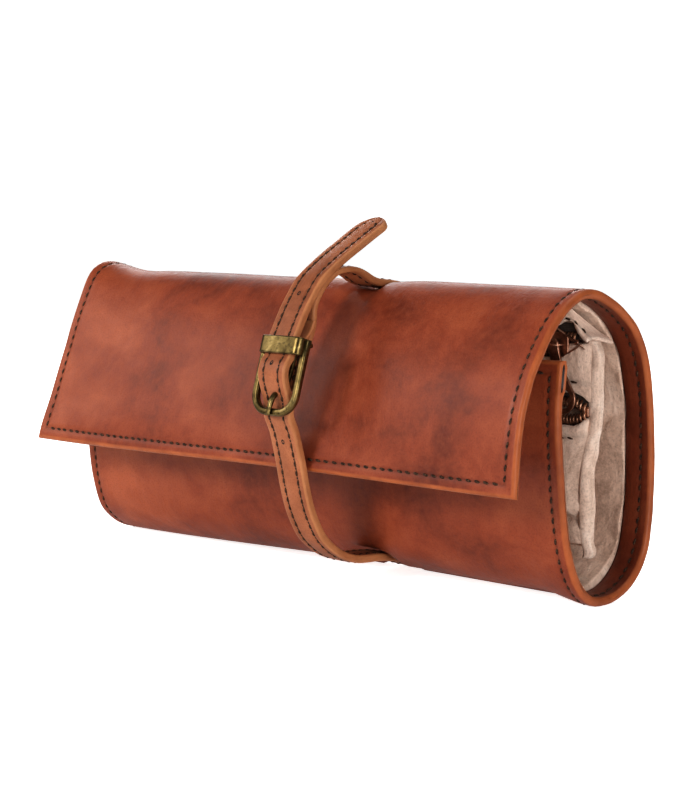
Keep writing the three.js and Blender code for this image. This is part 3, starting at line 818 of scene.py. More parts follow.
SEAM_MARKS = (3.0, 3.4, 3.75, 4.1, 4.45, 4.8, 5.4, 6.2, 9.6, 9.95, 10.25, 10.6, 11.2)
R_EDGE = EDGE_THICK / 2
x_marks = near_edges(-HALF, HALF, 2.4, R_EDGE, extra=SEAM_MARKS)
s_flap = near_edges(0, SHEET_SEAM, 2.2, R_EDGE, True, False, SEAM_MARKS)
s_wall = near_edges(SHEET_SEAM, sheet.length, 2.2, R_EDGE, False, True, SEAM_MARKS)


def wall_radius(x, s):
    up = sheet.length - s
    return EDGE_THICK / 2 - (0.85 * smooth((up - 0.8) / 1.2) * smooth((12 - up) / 3) if x > 100 else 0)


def slot_groove(x, s):
    """The open fold at the top right corner of the front wall."""
    if x < 100:
        return 0.0
    up = sheet.length - s
    return 3.4 * smooth((up - 0.9) / 1.2) * smooth((10.5 - up) / 3)


flap_piece = slab("flap_and_back_leather", outer_place, x_marks, s_flap, outer_thick, [OUTER],
                  open_end=True, seam_shade=outer_seam_shade)
finish_piece(flap_piece, blend=FLAP_BLEND,
             replaces=("flap_leather", "back_leather", "flap_hem_left", "flap_hem_right",
                       "flap_hem_bottom", "back_hem_left", "back_hem_right"),
             flat=(2 * HALF, SHEET_SEAM))
wall_piece = slab("wall_leather_sheet", outer_place, x_marks, s_wall, outer_thick, [OUTER],
                  r=wall_radius, open_start=True, groove=slot_groove, seam_shade=outer_seam_shade)
finish_piece(wall_piece, blend=WALL_BLEND,
             replaces=("wall_leather", "wall_hem_left", "wall_hem_right", "wall_hem_top"),
             flat=(2 * HALF, sheet.length - SHEET_SEAM))


def sheet_line(fixed, values, d, along_s):
    """Points and outward normals along the stitch line at x = fixed, or at s = fixed."""
    pts, ups = [], []
    inner = d > 1
    for v in values:
        x, s = (fixed, v) if along_s else (v, fixed)
        p = sheet.point(x, s, d)
        q = sheet.point(x, s, d + 1)
        n = (q - p).normalized() * (1 if inner else -1)
        n.x = 0
        pts.append(p)
        ups.append(n.normalized())
    return pts, ups


def case_seams(s0, s1, cross_s):
    out = []
    for d in (0.34, EDGE_THICK - 0.28):
        for x in (-HALF + SEAM, HALF - SEAM):
            out.append(sheet_line(x, steps(s0, s1, 2.0), d, True))
        out.append(sheet_line(cross_s, steps(-HALF + SEAM + 2, HALF - SEAM - 2, 2.5), d, False))
    return out


for name, seams, blend in (
        ("flap_and_back_stitching", case_seams(SEAM, SHEET_SEAM, SEAM), FLAP_BLEND),
        ("wall_stitching", case_seams(SHEET_SEAM, sheet.length - SEAM, sheet.length - SEAM),
         WALL_BLEND)):
    finish_piece(seam_piece(name, seams, THREAD, HOLE_SHADE), blend=blend)

# ---- suede lining ----------------------------------------------------------------------
LINE_X = HALF - HEM - 0.5


def lining_place(x, s, d, side):
    lift = 0.0
    if side:
        lift = 1.3 * n3(x / 17 + s / 40, s / 16, 2.5) + 0.5 * n3(x / 6, s / 9, 6.5)
        lift += 4.2 * n3(x / 24 - s / 15, s / 44 + x / 60, 5.5) * smooth((abs(x) - 60) / 25)
        lift = max(lift, -1.0)
    return sheet.point(x, s, d + LINING[0] + lift * 0.8)


for name, s0, s1, blend, cad, rests, ends in (
        ("flap_and_back_lining", HEM + 0.8, SHEET_SEAM, FLAP_BLEND, ("flap_lining", "back_lining"),
         "flap_and_back_leather", (False, True)),
        ("wall_lining_sheet", SHEET_SEAM, sheet.length - HEM - 0.8, WALL_BLEND, ("wall_lining",),
         "wall_leather_sheet", (True, False))):
    piece = slab(name, lining_place, near_edges(-LINE_X, LINE_X, 3.6, 0.6, extra=(1.4, 2.2)),
                 near_edges(s0, s1, 3.2, 0.6, not ends[0], not ends[1], extra=(1.4, 2.2)),
                 LINING[1] - LINING[0], [LINING_SUEDE], r=0.5, open_start=ends[0], open_end=ends[1],
                 offset=(400, 90))
    finish_piece(piece, blend=blend, replaces=cad, flat=(2 * LINE_X, s1 - s0))

# ---- brush sleeve ----------------------------------------------------------------------
SLEEVE_S = sheet.near((22.4, 70), -40)
CHANNEL, CHANNELS, RISE = 14.5, 4, 6.2   # width, count and height of the brush channels
SLEEVE_X = (-101.0, 18.0)
SLEEVE_FLAT = (SLEEVE_X[1] - SLEEVE_X[0], 92)


def sleeve_place(x, s, d, side):
    t = (s - SLEEVE_S) / CHANNEL
    f = clamp(t - math.floor(t)) if 0 < t < CHANNELS else 0.0
    rise = RISE * max(math.sin(math.pi * f), 0.0) ** 0.5
    rise *= 1 + 0.05 * n3(x / 20, s / 9, 3.3)
    return sheet.point(x, s, LINING[1] + 0.55 + rise + 1.0 - d)


# how near a stitched valley between the channels is, for the painted shade there
def sleeve_valley_shade(a, s, b):
    t = (s - SLEEVE_S) / CHANNEL
    return bell((t - round(t)) * 12)


sleeve_s = sorted({SLEEVE_S + CHANNEL * (c + f) for c in range(CHANNELS) for f in (
    0, 0.02, 0.06, 0.12, 0.2, 0.3, 0.4, 0.5, 0.6, 0.7, 0.8, 0.88, 0.94, 0.98, 1)})
sleeve = slab("brush_sleeve_suede", sleeve_place, near_edges(*SLEEVE_X, 3.2, 0.5, extra=(1.5, 3.0)),
              sleeve_s, 1.0, [SUEDE], r=0.42, seam_shade=sleeve_valley_shade)
finish_piece(sleeve, body="case", replaces=("brush_sleeve",), flat=SLEEVE_FLAT)
lines = []
for c in range(CHANNELS + 1):
    s = SLEEVE_S + CHANNEL * c + (0.25 if c == 0 else -0.25 if c == CHANNELS else 0)
    pts = [sheet.point(x, s, LINING[1] + 1.62) for x in steps(SLEEVE_X[0] + 2, SLEEVE_X[1] - 2, 3)]
    ups = [(sheet.point(p.x, s, 6) - sheet.point(p.x, s, 5)).normalized() for p in pts]
    lines.append((pts, ups))
finish_piece(seam_piece("brush_sleeve_stitching", lines, THREAD, HOLE_SHADE, radius=0.3, r_hole=0.4),
             body="case")

# ---- strap -----------------------------------------------------------------------------
COS, SIN = math.cos(TILT), math.sin(TILT)


def buckle(b, c):
    return BUCKLE_AT[0] + b * SIN - c * COS, BUCKLE_AT[1] + b * COS + c * SIN


def sheet_yz(s, d):
    p = sheet.point(STRAP_X, s, d)
    return p.y, p.z


SEWN = sheet.near((25.3, 59), STRAP_X)
# outer faces of the strap in section: round the base and up the front to the tip, and over the top
face = [sheet_yz(s, -0.3 - STRAP_T) for s in steps(SEWN, sheet.near((17, 5), STRAP_X), 6)]
face += [
    (9.6, 0.6), (5, 1.5), (0, 3.1), (-5.5, 4.6), (-10.6, 5.5), (-15.5, 6.0), (-20.2, 6.2),
    (-25.4, 6.8), (-31.4, 8.8), (-36.8, 12.2), (-41.8, 17.0), (-45.5, 23.1), (-48, 29),
    (-49.7, 35), (-51.1, 41.2), (-52.7, 47.4), (-54.5, 53.4), buckle(-23.4, -3.0),
    buckle(-18.6, -1.4), buckle(-14.6, 1.5), buckle(-10.5, 3.6), buckle(-6.6, 3.8),
    buckle(-3.4, 2.5), buckle(-0.3, 2.3), buckle(3, 2.2), (-51.4, 90.7), (-48.5, 95.5),
    (-45.1, 100.2), (-40.8, 105), (-34.7, 109.3), (-27.7, 113.4), (-21.4, 116.8), (-14.0, 121.0),
    (-7.9, 124.2)]
lower = Path(face)
LOW_SEAM = lower.near((-15.5, 6.0))
face = [sheet_yz(s, -0.3 - STRAP_T) for s in steps(SEWN - 0.6, sheet.near((11.5, 91.5), STRAP_X), 7)]
face += [
    (5.2, 98.9), (-2, 101.9), (-8, 103.0), (-12, 103.4), (-15.1, 104.2), (-19.1, 106.2),
    (-23, 107.5), (-27.5, 108), (-32.7, 107.3), (-36.5, 105.3), (-39.9, 102.6), (-42.8, 99),
    (-44.8, 95), buckle(8, -5.2), buckle(3, -4.7), buckle(-3, -4.6), buckle(-9, -4.4),
    buckle(-14, -4.1)]
over = Path(face)


def drift(path, y, z):
    """The strap leans a little to the left in front."""
    lean = smooth(-y / 20)
    return -1.2 * smooth((z - 4) / 12) * lean if path is lower else -1.6 * lean


LINE_A = 3.35   # stitch lines of the strap, from its centre


def strap_place(path, sign, tip=False):
    def place(a, s, d, side):
        g = tip_width(path, s) if tip else 1.0
        groove = 0.26 * bell((abs(a) - LINE_A) / 0.5)
        dome = -0.12 * bell(a / 2.2) + 0.10 * smooth((abs(a) - 4.6) / 1.6)
        if side == 0:
            d += groove + dome
        elif side == 1:
            d -= groove * 0.7
        edge = 0.12 * n3(s / 9, a / 40, 4.0) + 0.22 * n3(s / 31, 1.0, 7.0)
        y, z = path.at(s, sign * d)
        edge += drift(path, y, z)
        twist = 0.25 * n3(s / 40, 3.0, 1.0) * a / 6
        return Vector((STRAP_X + a * g + edge, y, max(z + twist * (1 if z > 12 else 0), 0.3)))
    return place


def strap_thick(path, s):
    """The end that holds the buckle is pared thinner."""
    return STRAP_T - (0.6 * smooth((s - path.length + 74) / 20) if path is over else 0)


def tip_width(path, s):
    r = STRAP_W / 2
    v = (s - (path.length - r)) / r
    return math.sqrt(max(1 - v * v, 0.0)) if v > 0 else 1.0


a_marks = [-6.25, -6.2, -6.08, -5.9, -5.6, -5.2, -4.7, -4.2, -3.8, -3.55, -3.35, -3.15, -2.9, -2.4,
           -1.6, -0.8]
a_marks = a_marks + [0.0] + [-v for v in reversed(a_marks)]


def strap_seam_shade(a, s, b):
    return 0.45 * bell((abs(a) - LINE_A) / 0.6)


def strap_line(path, sign, a, s0, s1, inner=False):
    """Points and outward normals along the strap at a from its centre."""
    pts, ups = [], []
    for s in steps(s0, s1, 1.6):
        off = (strap_thick(path, s) - 0.18) if inner else 0.18
        y, z = path.at(s, sign * off)
        y2, z2 = path.at(s, sign * (off + (1 if inner else -1)))
        x = STRAP_X + a + 0.22 * n3(s / 31, 1.0, 7.0) + drift(path, y, z)
        pts.append(Vector((x, y, max(z, 0.4))))
        ups.append(Vector((0, y2 - y, z2 - z)).normalized())
    return pts, ups


def strap_piece(name, path, sign, s0, s1, blend, replaces, open_start=False, open_end=False,
                tip=False, offset=0):
    """A length of the strap with its stitching. tip rounds off its far end."""
    marks = near_edges(s0, s1, 1.4 if tip else 1.5, 0.8, not open_start, not open_end)
    if tip:
        r = STRAP_W / 2
        tip_from = path.length - r
        marks = [m for m in marks if m < tip_from]
        marks += [tip_from + r * math.sin(math.pi / 2 * k / 16) for k in range(16)]
        marks.append(path.length - 0.02)
    piece = slab(name, strap_place(path, sign, tip), a_marks, marks,
                 lambda a, s: strap_thick(path, s), [STRAP], r=0.75, open_start=open_start,
                 open_end=open_end or tip, seam_shade=strap_seam_shade, offset=(700, offset), rim_width=0.9,
                 wide=(lambda s: tip_width(path, s)) if tip else None)
    finish_piece(piece, blend=blend, replaces=replaces)
    lines = []
    for inner in (False, True):
        end = path.length - 6.5 if tip else s1 - (0 if open_end else 3)
        start = s0 + (0 if open_start else 3)
        for a in (-LINE_A, LINE_A):
            lines.append(strap_line(path, sign, a, start, end, inner))
        if tip:
            arc, ups = [], []
            for k in range(13):
                w = math.pi * k / 12
                s = path.length - 6.5 + LINE_A * math.sin(w)
                p, u = strap_line(path, sign, LINE_A * math.cos(w), s, s + 0.01, inner)
                arc.append(p[0])
                ups.append(u[0])
            lines.append((arc, ups))
        for s, sewn in ((end, not tip and not open_end), (start, not open_start)):
            if sewn:
                p = [strap_line(path, sign, a, s, s + 0.01, inner) for a in (-LINE_A, 0, LINE_A)]
                lines.append(([q[0][0] for q in p], [q[1][0] for q in p]))
    stitching = seam_piece(name + "_stitching", lines, THREAD, HOLE_SHADE, pitch=3.3, slant=0.18,
                           radius=0.40, rise=0.30, r_hole=0.55)
    finish_piece(stitching, blend=blend)


TAIL_BLEND = ("case", "tail_low", (0, -5, 3.5), (0, -14.6, 5.4))
BEND_BLEND = ("tail_low", "tail_high", (0, -48.2, 35.6), (0, -51.4, 48.6))
OVER_BLEND = ("case", "strap_over", (0, 28.8, 57.5), (0, 28.6, 66))
strap_piece("strap_under_base", lower, 1, 0, LOW_SEAM, TAIL_BLEND,
            ("strap_base", "strap_tail_low"), open_end=True)
strap_piece("strap_tail", lower, 1, LOW_SEAM, lower.length, BEND_BLEND, ("strap_tail_high",),
            open_start=True, tip=True)
strap_piece("strap_over_top", over, -1, 0, over.length, OVER_BLEND, ("strap_buckle_end",),
            offset=300)

# punched holes along the tail: shallow dishes set into the leather, painted near black for the shade
# inside each hole
punched = []
TONGUE_S = lower.near(buckle(-17.5, -0.6))
for off in (-15.5, 12.2, 38.0):   # along the strap from the hole that the tongue is in
    s = TONGUE_S + off
    y, z = lower.at(s, -0.13)
    y2, z2 = lower.at(s, -1.13)
    y3, z3 = lower.at(s + 1, -0.13)
    x = STRAP_X + 0.22 * n3(s / 31, 1.0, 7.0) + drift(lower, y, z)
    punched.append(hole((x, y, z), (0, y2 - y, z2 - z), (0, y3 - y, z3 - z), 1.15))
finish_piece(merged("strap_holes", punched, [HOLE_SHADE]), blend=BEND_BLEND)

# the square of leather sewn over the strap's two ends
patch_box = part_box("strap_patch")
patch_at = (patch_box[0] + patch_box[1]) / 2 / MM
patch_s = lower.near((patch_at.y, patch_at.z))
PATCH = (8.0, 5.9)    # half its width and half its height
PATCH_T = 1.6


def patch_place(a, s, d, side):
    corner = max(abs(a) - PATCH[0] + 2.2, 0) ** 2 + max(abs(s) - PATCH[1] + 2.2, 0) ** 2
    pull = 1 - 0.10 * smooth((math.sqrt(corner) - 1.6) / 1.6)
    y, z = lower.at(patch_s + s * pull, -0.25 - PATCH_T + d + 0.12 * bell((abs(a) - 6) / 0.5))
    return Vector((STRAP_X + a * pull, y, z))


patch = slab("strap_patch_leather", patch_place, near_edges(-PATCH[0], PATCH[0], 0.8, 0.7),
             near_edges(-PATCH[1], PATCH[1], 0.8, 0.7), PATCH_T, [STRAP], r=0.6, offset=(900, 40),
             seam_shade=lambda a, s, b: bell((b - 1.8) / 0.5))
finish_piece(patch, body="case", replaces=("strap_patch",))


def patch_line(points):
    pts, ups = [], []
    for (a, s), (a2, s2) in zip(points, points[1:]):
        for f in (0, 0.5, 1):
            aa, ss = a + (a2 - a) * f, s + (s2 - s) * f
            p = patch_place(aa, ss, 0, 0)
            q = patch_place(aa, ss, 1, 0)
            pts.append(p)
            ups.append((p - q).normalized())
    return pts, ups


PA, PS = PATCH[0] - 1.8, PATCH[1] - 1.8
finish_piece(seam_piece("strap_patch_stitching", [
    patch_line([(-PA, -PS), (PA, -PS), (PA, PS), (-PA, PS), (-PA, -PS)]),
    patch_line([(-PA, -PS), (PA, PS)]), patch_line([(PA, -PS), (-PA, PS)])],
    THREAD, HOLE_SHADE, pitch=2.6, radius=0.32, r_hole=0.45), body="case")

# ---- buckle ----------------------------------------------------------------------------
KEEPER_T, KEEPER_HEIGHT = 1.42, 7.0


def bk(a, b, c):
    """A point in the buckle's own axes: a across, b up along it, c out from it."""
    y, z = buckle(b, c)
    return Vector((STRAP_X + a, y, z))


OUT_C = bk(0, 0, 1) - bk(0, 0, 0)


def loop_points():
    """Centre line of the frame, open at the top, where it runs into the keeper."""
    half, low, r = 9.25, -22.3, 6.4
    pts = [(-half, 2.2), (-half, -4.0), (-half, -9.0)]
    for k in range(0, 11):
        w = math.pi + math.pi / 2 * k / 10
        pts.append((-half + r + r * math.cos(w), low + r + r * math.sin(w)))
    pts += [(-1.5, low), (1.5, low)]
    for k in range(0, 11):
        w = 1.5 * math.pi + math.pi / 2 * k / 10
        pts.append((half - r + r * math.cos(w), low + r + r * math.sin(w)))
    pts += [(half, -9.0), (half, -4.0), (half, 2.2)]
    return pts


frame_line = [bk(a, b, 0.25 * math.sin((b + 22) / 9)) for a, b in loop_points()]
frame_part = sweep(frame_line, superellipse(2.5, 2.3, 20, 3.2), lambda k: OUT_C)
keeper_line = Path([
    (-8.5, -2.0), (-8.55, -1.2), (-8.6, 0.6), (-8.5, 2.2), (-7.8, 3.1), (-5, 3.3), (0, 3.38),
    (5, 3.3), (7.8, 3.1), (8.5, 2.2), (8.6, 0.6), (8.55, -1.2), (8.5, -2.0)])


def keeper_place(a, s, d, side):
    """a runs up the buckle from 0 to 1, s round the keeper."""
    x, c = keeper_line.at(s, d - 0.72)
    full = smooth((c + 2.6) / 1.6)
    lo, hi = -0.3 - 2.95 * full, 2.7
    return bk(x, lo + (hi - lo) * a, c)


def keeper_slab():
    marks = near_edges(0, keeper_line.length, 0.7, 0.5)
    rows = [0, 0.006, 0.02, 0.045, 0.08, 0.14, 0.25, 0.4, 0.5, 0.6, 0.75, 0.86, 0.92, 0.955,
            0.98, 0.994, 1]
    return slab("buckle_keeper_part", keeper_place, rows, marks, KEEPER_T, [BRASS], r=0.5,
                wide=lambda s: KEEPER_HEIGHT)


def bar_part():
    """The bar under the keeper; its ends curve forward into the keeper's sides."""
    half = [(6.4, -3.6), (7.3, -3.45), (7.95, -2.95), (8.3, -2.2), (8.4, -1.4)]
    line = [(-a, c) for a, c in reversed(half)] + [(0, -3.6)] + half
    return sweep([bk(a, 1.25, c) for a, c in line], superellipse(1.7, 1.7, 16, 2.0), (0, COS, SIN))


keeper = keeper_slab()
frame_obj = merged("buckle_frame_brass", [frame_part, bar_part()], [BRASS])


def join_objects(name, objects, material):
    """One object from several, each turned right side out first."""
    verts, faces = [], []
    for obj in objects:
        flip_if_inside_out(obj)
        base = len(verts)
        verts += [tuple(v.co / MM) for v in obj.data.vertices]
        faces += [tuple(i + base for i in p.vertices) for p in obj.data.polygons]
    for obj in objects:
        bpy.data.objects.remove(obj)
    return new_mesh(name, verts, faces, [material])


frame_obj = join_objects("buckle_frame_brass", (frame_obj, keeper), BRASS)
finish_piece(frame_obj, body="strap_over", replaces=("buckle_frame",))

tongue_pts = Path([
    (0.2, -4.6), (-2, -4.5), (-5, -4.2), (-9, -3.9), (-12.6, -3.2), (-14.9, -1.5), (-16.3, 0.4),
    (-18.4, 1.5), (-21, 1.85), (-23.7, 1.75)])
tongue_line = [bk(0, *tongue_pts.raw(s)) for s in steps(0, tongue_pts.length, 0.6)]
ring = [bk(0, 1.25 + 1.25 * math.cos(w), -3.6 + 1.25 * math.sin(w)) for w in
        [math.radians(v) for v in range(200, 520, 16)]]
tongue = merged("buckle_tongue_brass", [
    sweep(tongue_line, superellipse(2.1, 1.5, 16, 2.6), lambda k: OUT_C,
          scale=lambda t: 1.0 - 0.32 * smooth((t - 0.8) / 0.2)),
    sweep(ring, superellipse(2.1, 0.8, 14, 2.6), lambda k: (bk(0, 1.25, -3.6) - ring[k]))], [BRASS])
finish_piece(tongue, body="tongue", replaces=("buckle_tongue",))

fold = Path([(10, -4.6), (6, -3.9), (3.5, -2.6), (1.25, -2.0), (-0.5, -2.5), (-0.95, -3.6),
             (-0.4, -4.4)])
FOLD_T = 1.1
fold_parts = []
for a0, a1 in ((-6.25, -1.8), (1.8, 6.25)):   # either side of the tongue
    def fold_place(a, s, d, side):
        b, c = fold.at(s, d - FOLD_T / 2)
        wide_at = smooth((b - 3.2) / 1.5)
        inner = (a - a0) / (a1 - a0) if a0 < 0 else (a1 - a) / (a1 - a0)
        shift = wide_at * inner ** 3 * 1.75 * (1 if a0 < 0 else -1)
        return bk(a + shift, b, c)
    fold_parts.append(slab(f"strap_fold_{'left' if a0 < 0 else 'right'}", fold_place,
                           near_edges(a0, a1, 0.7, 0.45), near_edges(0, fold.length, 0.6, 0.45),
                           FOLD_T, [STRAP], r=0.45, offset=(700, 500)))
for obj in fold_parts:
    finish_piece(obj, body="strap_over", replaces=("strap_fold",))

# ---- the zipped leaf -------------------------------------------------------------------
LEAF_X = 103.8        # half its length, without the folded side edges
UPPER_Z, LOWER_Z = 83.5, 62.0
PANEL_T = 1.7
BAND_SEAM = 2.4       # stitch line, up from the band's lower edge


def end_shift(x, z):
    """The right end of the leaf isn't cut square."""
    edge = -0.9 * smooth((66 - z) / 14) - 2.7 * bell((z - 37) / 11)
    return edge * smooth((x - 96) / 10)


def ribbon(name, points, thick, x0, x1, material, shape, v, seam_shade=None, fine=1.2):
    """A sheet that runs along X, with the section points (y, z) read from top to bottom.
    v shifts its grain, so that no two sheets look the same."""
    path = Path(points)

    def place(x, s, d, side):
        y, z = path.at(s, -d)
        dy, dz = shape(x, s / path.length, side)
        return Vector((x + end_shift(x, z), y + dy, z + dz))
    piece = slab(name, place, near_edges(x0, x1, 2.6, thick / 2),
                 near_edges(0, path.length, fine, thick / 2), thick, [material], seam_shade=seam_shade,
                 offset=(40, v))
    return piece, path


def place_line(path, shape, s, x0, x1, d):
    """Points and outward normals of a stitch line across a ribbon, at s down its section."""
    pts, ups = [], []
    for x in steps(x0, x1, 2.2):
        y, z = path.at(s, -d)
        y2, z2 = path.at(s, 1 - d)
        dy, dz = shape(x, s / path.length, 0)
        pts.append(Vector((x + end_shift(x, z), y + dy, z + dz)))
        ups.append(Vector((0, y2 - y, z2 - z)).normalized())
    return pts, ups


leaf_lines = []

# In each section below the outer face is on the left of the direction, towards -Y.
BAND_MID = Path([(-3.6, 98.6), (-1.2, 95.6), (0.7, 92.8), (1.6, 90.4), (1.9, 87.9)])
BAND_END = Path([(16.0, 84.6), (11.4, 85.6), (7.0, 85.8), (3.4, 85.4), (1.4, 84.4)])
BAND_LENGTH = BAND_MID.length


def band_surface(x, s):
    """The band above the upper zip. Its right end leans back on to the lining and droops."""
    w = smooth((x - 98.5) / 8.5)
    t = clamp(s / BAND_LENGTH)
    y0, z0 = BAND_MID.raw(t * BAND_MID.length)
    y1, z1 = BAND_END.raw(t * BAND_END.length)
    rise = 5.2 * bell((x - 100) / 5.5) * t * t - 1.6 * smooth((x - 92) / 7) * t * (1 - w)
    wave = 0.5 * n3(x / 15, t * 3, 1.5) * t
    flutter = 0.5 * n3(x / 19, 4.0, 0.5) * t * t
    return Vector((x, y0 + (y1 - y0) * w + wave, z0 + (z1 - z0) * w + rise + flutter))


def band_place(x, s, d, side):
    c = clamp(s, 0.4, BAND_LENGTH - 0.4)
    across = band_surface(x + 0.4, c) - band_surface(x - 0.4, c)
    down = band_surface(x, c + 0.4) - band_surface(x, c - 0.4)
    return band_surface(x, s) + across.cross(down).normalized() * d


band = slab("leaf_top_band_suede", band_place,
            near_edges(-LEAF_X, LEAF_X + 3.2, 1.9, 0.8, extra=(2.4, 3.6, 4.8, 6.0)),
            near_edges(0, BAND_LENGTH, 1.1, 0.8), PANEL_T, [SUEDE], r=0.8, offset=(40, 700),
            seam_shade=lambda a, s, b: bell((s - BAND_LENGTH + BAND_SEAM) / 0.7))
band_line = [band_place(x, BAND_LENGTH - BAND_SEAM, 0.05, 0) for x in steps(-98, 105.4, 1.8)]
leaf_lines.append((band_line, [(p - band_place(p.x, BAND_LENGTH - BAND_SEAM, 1.05, 0)).normalized()
                               for p in band_line]))


def end_turn(x):
    """The right end of the leaf curves back."""
    return 2.2 * smooth((x - 102) / 6) ** 2


def middle_shape(x, t, side):
    fold_at = 0.62
    if t < fold_at:
        puff = -1.15 * math.sin(math.pi * clamp(t / fold_at))
    else:
        puff = -0.9 * math.sin(math.pi * (t - fold_at) / 0.38)
    free = smooth((LEAF_X - abs(x)) / 5)
    puff *= (0.75 + 0.5 * n3(x / 21, 2.0, t)) * free * (1 if side != 1 else 0.8)
    up = 4.8 * smooth((x - 96.2) / 2.4) * clamp(1 - t / fold_at) ** 1.5
    down = 3.0 * smooth((x - 103.2) / 3.4) * clamp((t - 0.5) / 0.5) ** 2
    return puff + 0.25 * n3(x / 8, t * 4, 3.0) + end_turn(x), 0.5 * n3(x / 24, 6.0, 1.0) + up - down


MIDDLE_SEAM, LOWER_SEAM = 8.3, 4.3   # stitch lines, down from the top of each panel
middle, middle_path = ribbon(
    "leaf_middle_suede", [(2.5, 79.6), (2.0, 78.6), (2.0, 75), (2.0, 71.4), (2.0, 69), (2.4, 67.6)],
    PANEL_T, -LEAF_X, LEAF_X + 3.4, SUEDE, middle_shape, 760,
    seam_shade=lambda a, s, b: bell((s - MIDDLE_SEAM) / 0.7), fine=0.9)
leaf_lines.append(place_line(middle_path, middle_shape, MIDDLE_SEAM, -98, 103.4, -0.02))


def lower_shape(x, t, side):
    free = smooth((LEAF_X - abs(x)) / 6)
    puff = -1.5 * math.sin(math.pi * clamp(t / 0.12)) * (t < 0.12)
    puff += -1.6 * bell((t - 0.45) / 0.22) * (1 + 0.5 * n3(x / 30, 1.0, 2.0)) * free
    puff += 2.8 * bell((t - 0.79) / 0.05) * (0.4 + 0.8 * smooth((x - 85) / 12))
    puff -= 1.0 * bell((t - 0.68) / 0.06)
    fold = -0.9 * bell((x - 99.2 - 4 * t) / 1.6) * smooth((t - 0.12) / 0.2)
    return (puff * (1 if side != 1 else 0.85) + 0.35 * n3(x / 12, t * 6, 5.0) + end_turn(x) + fold,
            0.4 * n3(x / 22, 3.0, 3.0) + 2.8 * smooth((x - 103) / 3.4) * clamp(1 - t / 0.16) ** 1.5)


lower_panel, lower_path = ribbon(
    "leaf_lower_suede", [(2.6, 57.6), (2.2, 56.4), (2.2, 50), (2.0, 40), (2.2, 28), (3.4, 18.6)],
    PANEL_T, -LEAF_X, LEAF_X + 3.4, SUEDE, lower_shape, 820,
    seam_shade=lambda a, s, b: bell((s - LOWER_SEAM) / 0.7), fine=1.3)
leaf_lines.append(place_line(lower_path, lower_shape, LOWER_SEAM, -98, 103.0, -0.02))
backing, backing_path = ribbon(
    "leaf_backing_suede", [(6.4, 88.2), (6.3, 80), (6.2, 50), (6.4, 17.4)], 1.2, -LEAF_X, LEAF_X,
    LINING_SUEDE, lambda x, t, side: (0.35 * n3(x / 16, t * 9, 8.0), 0), 900)
for obj, node, flat, rests in (
        (band, "leaf_top_band", (2 * LEAF_X + 3, BAND_LENGTH), "flap_and_back_lining"),
        (middle, "leaf_middle_panel", (2 * LEAF_X + 3, middle_path.length), "leaf_backing_suede"),
        (lower_panel, "leaf_lower_panel", (2 * LEAF_X + 3, lower_path.length), "leaf_backing_suede"),
        (backing, "leaf_backing", (204, backing_path.length), "flap_and_back_lining")):
    finish_piece(obj, body="leaf", replaces=(node,), flat=flat)

for side_sign, node in ((1, "leaf_edge_right"), (-1, "leaf_edge_left")):
    roll = Path([(103.6, 5.6), (105.4, 4.6), (107.1, 4.1), (108.6, 4.6), (109.4, 5.9), (108.7, 7.1),
                 (109.1, 8.3), (108.0, 9.7), (105.8, 10.0), (103.6, 9.6)])

    def roll_place(a, s, d, side):
        x, y = roll.at(a, -d)
        z = 85.0 - s
        drop = smooth((6 - s) / 6)
        out = smooth((x - 103.5) / 3)
        x -= 2.0 * smooth((17 - z) / 6) * out
        x += (1.1 * n3(s / 12, a / 9, side_sign * 3.0) + 0.35 * n3(s / 5, a / 4, 8.0)) * out
        x -= (0.5 * bell((s - 15.4) / 2.0) + 0.5 * bell((s - 33) / 2.4)) * smooth((x - 105) / 2)
        x -= (1.8 * drop * drop + 1.2 * smooth((64 - z) / 12) + 1.7 * smooth((53 - z) / 10)) * out
        y += (-1.3 * bell((z - 34) / 15) * smooth((8 - y) / 4)
              + 0.6 * n3(s / 15, 1.0, 6.0) * smooth((a - 3) / 5))
        y += -1.0 * smooth((62 - z) / 40) * smooth((y - 5) / 3) + 2.6 * smooth((20 - z) / 7)
        return Vector((side_sign * x, y, z))
    edge = slab(node + "_suede", roll_place, near_edges(0, roll.length, 0.75, 0.55),
                near_edges(0, 71.6, 1.5, 0.55), 1.25, [SUEDE], r=0.55, offset=(600 * side_sign, 300))
    finish_piece(edge, body="leaf", replaces=(node,))
finish_piece(seam_piece("leaf_stitching", leaf_lines, THREAD, HOLE_SHADE, pitch=3.4, radius=0.33,
                        r_hole=0.45), body="leaf")


# ---- zips ------------------------------------------------------------------------------
def parting(name, x):
    """How far a row of teeth stands off the middle of its zip."""
    if name == "lower_zip":
        return 0.35 + 0.45 * smooth((x - 45) / 45) * smooth((105 - x) / 6)
    return 0.35


ZIP_END = {"upper_zip": 101.6, "lower_zip": 105.4}   # right end of the teeth
COIL_START, COIL_PITCH = -102.2, 1.32
PULL_TILT = {"upper_zip": 0.24, "lower_zip": -0.04}   # how the pulls hang, in radians


def coil_row(name, z0, sign):
    """The half turns of one row of teeth, above (sign 1) or below the middle of the zip."""
    parts = []
    x = COIL_START
    while x < ZIP_END[name]:
        g = parting(name, x)
        zc = z0 + sign * (g + 0.15)
        wob = 0.08 * n3(x / 7, sign, 2.0)
        y = 3.3 + wob + end_turn(x) * 0.7
        zc -= sign * 1.3 * smooth((x - 102.4) / 3)
        parts.append(stitch((x - 0.2, y, zc), (x + 0.3, y, zc + sign * 3.7), (0, -1, 0),
                            radius=0.66, rise=1.1, sides=8, rings=7))
        x += COIL_PITCH
    return parts


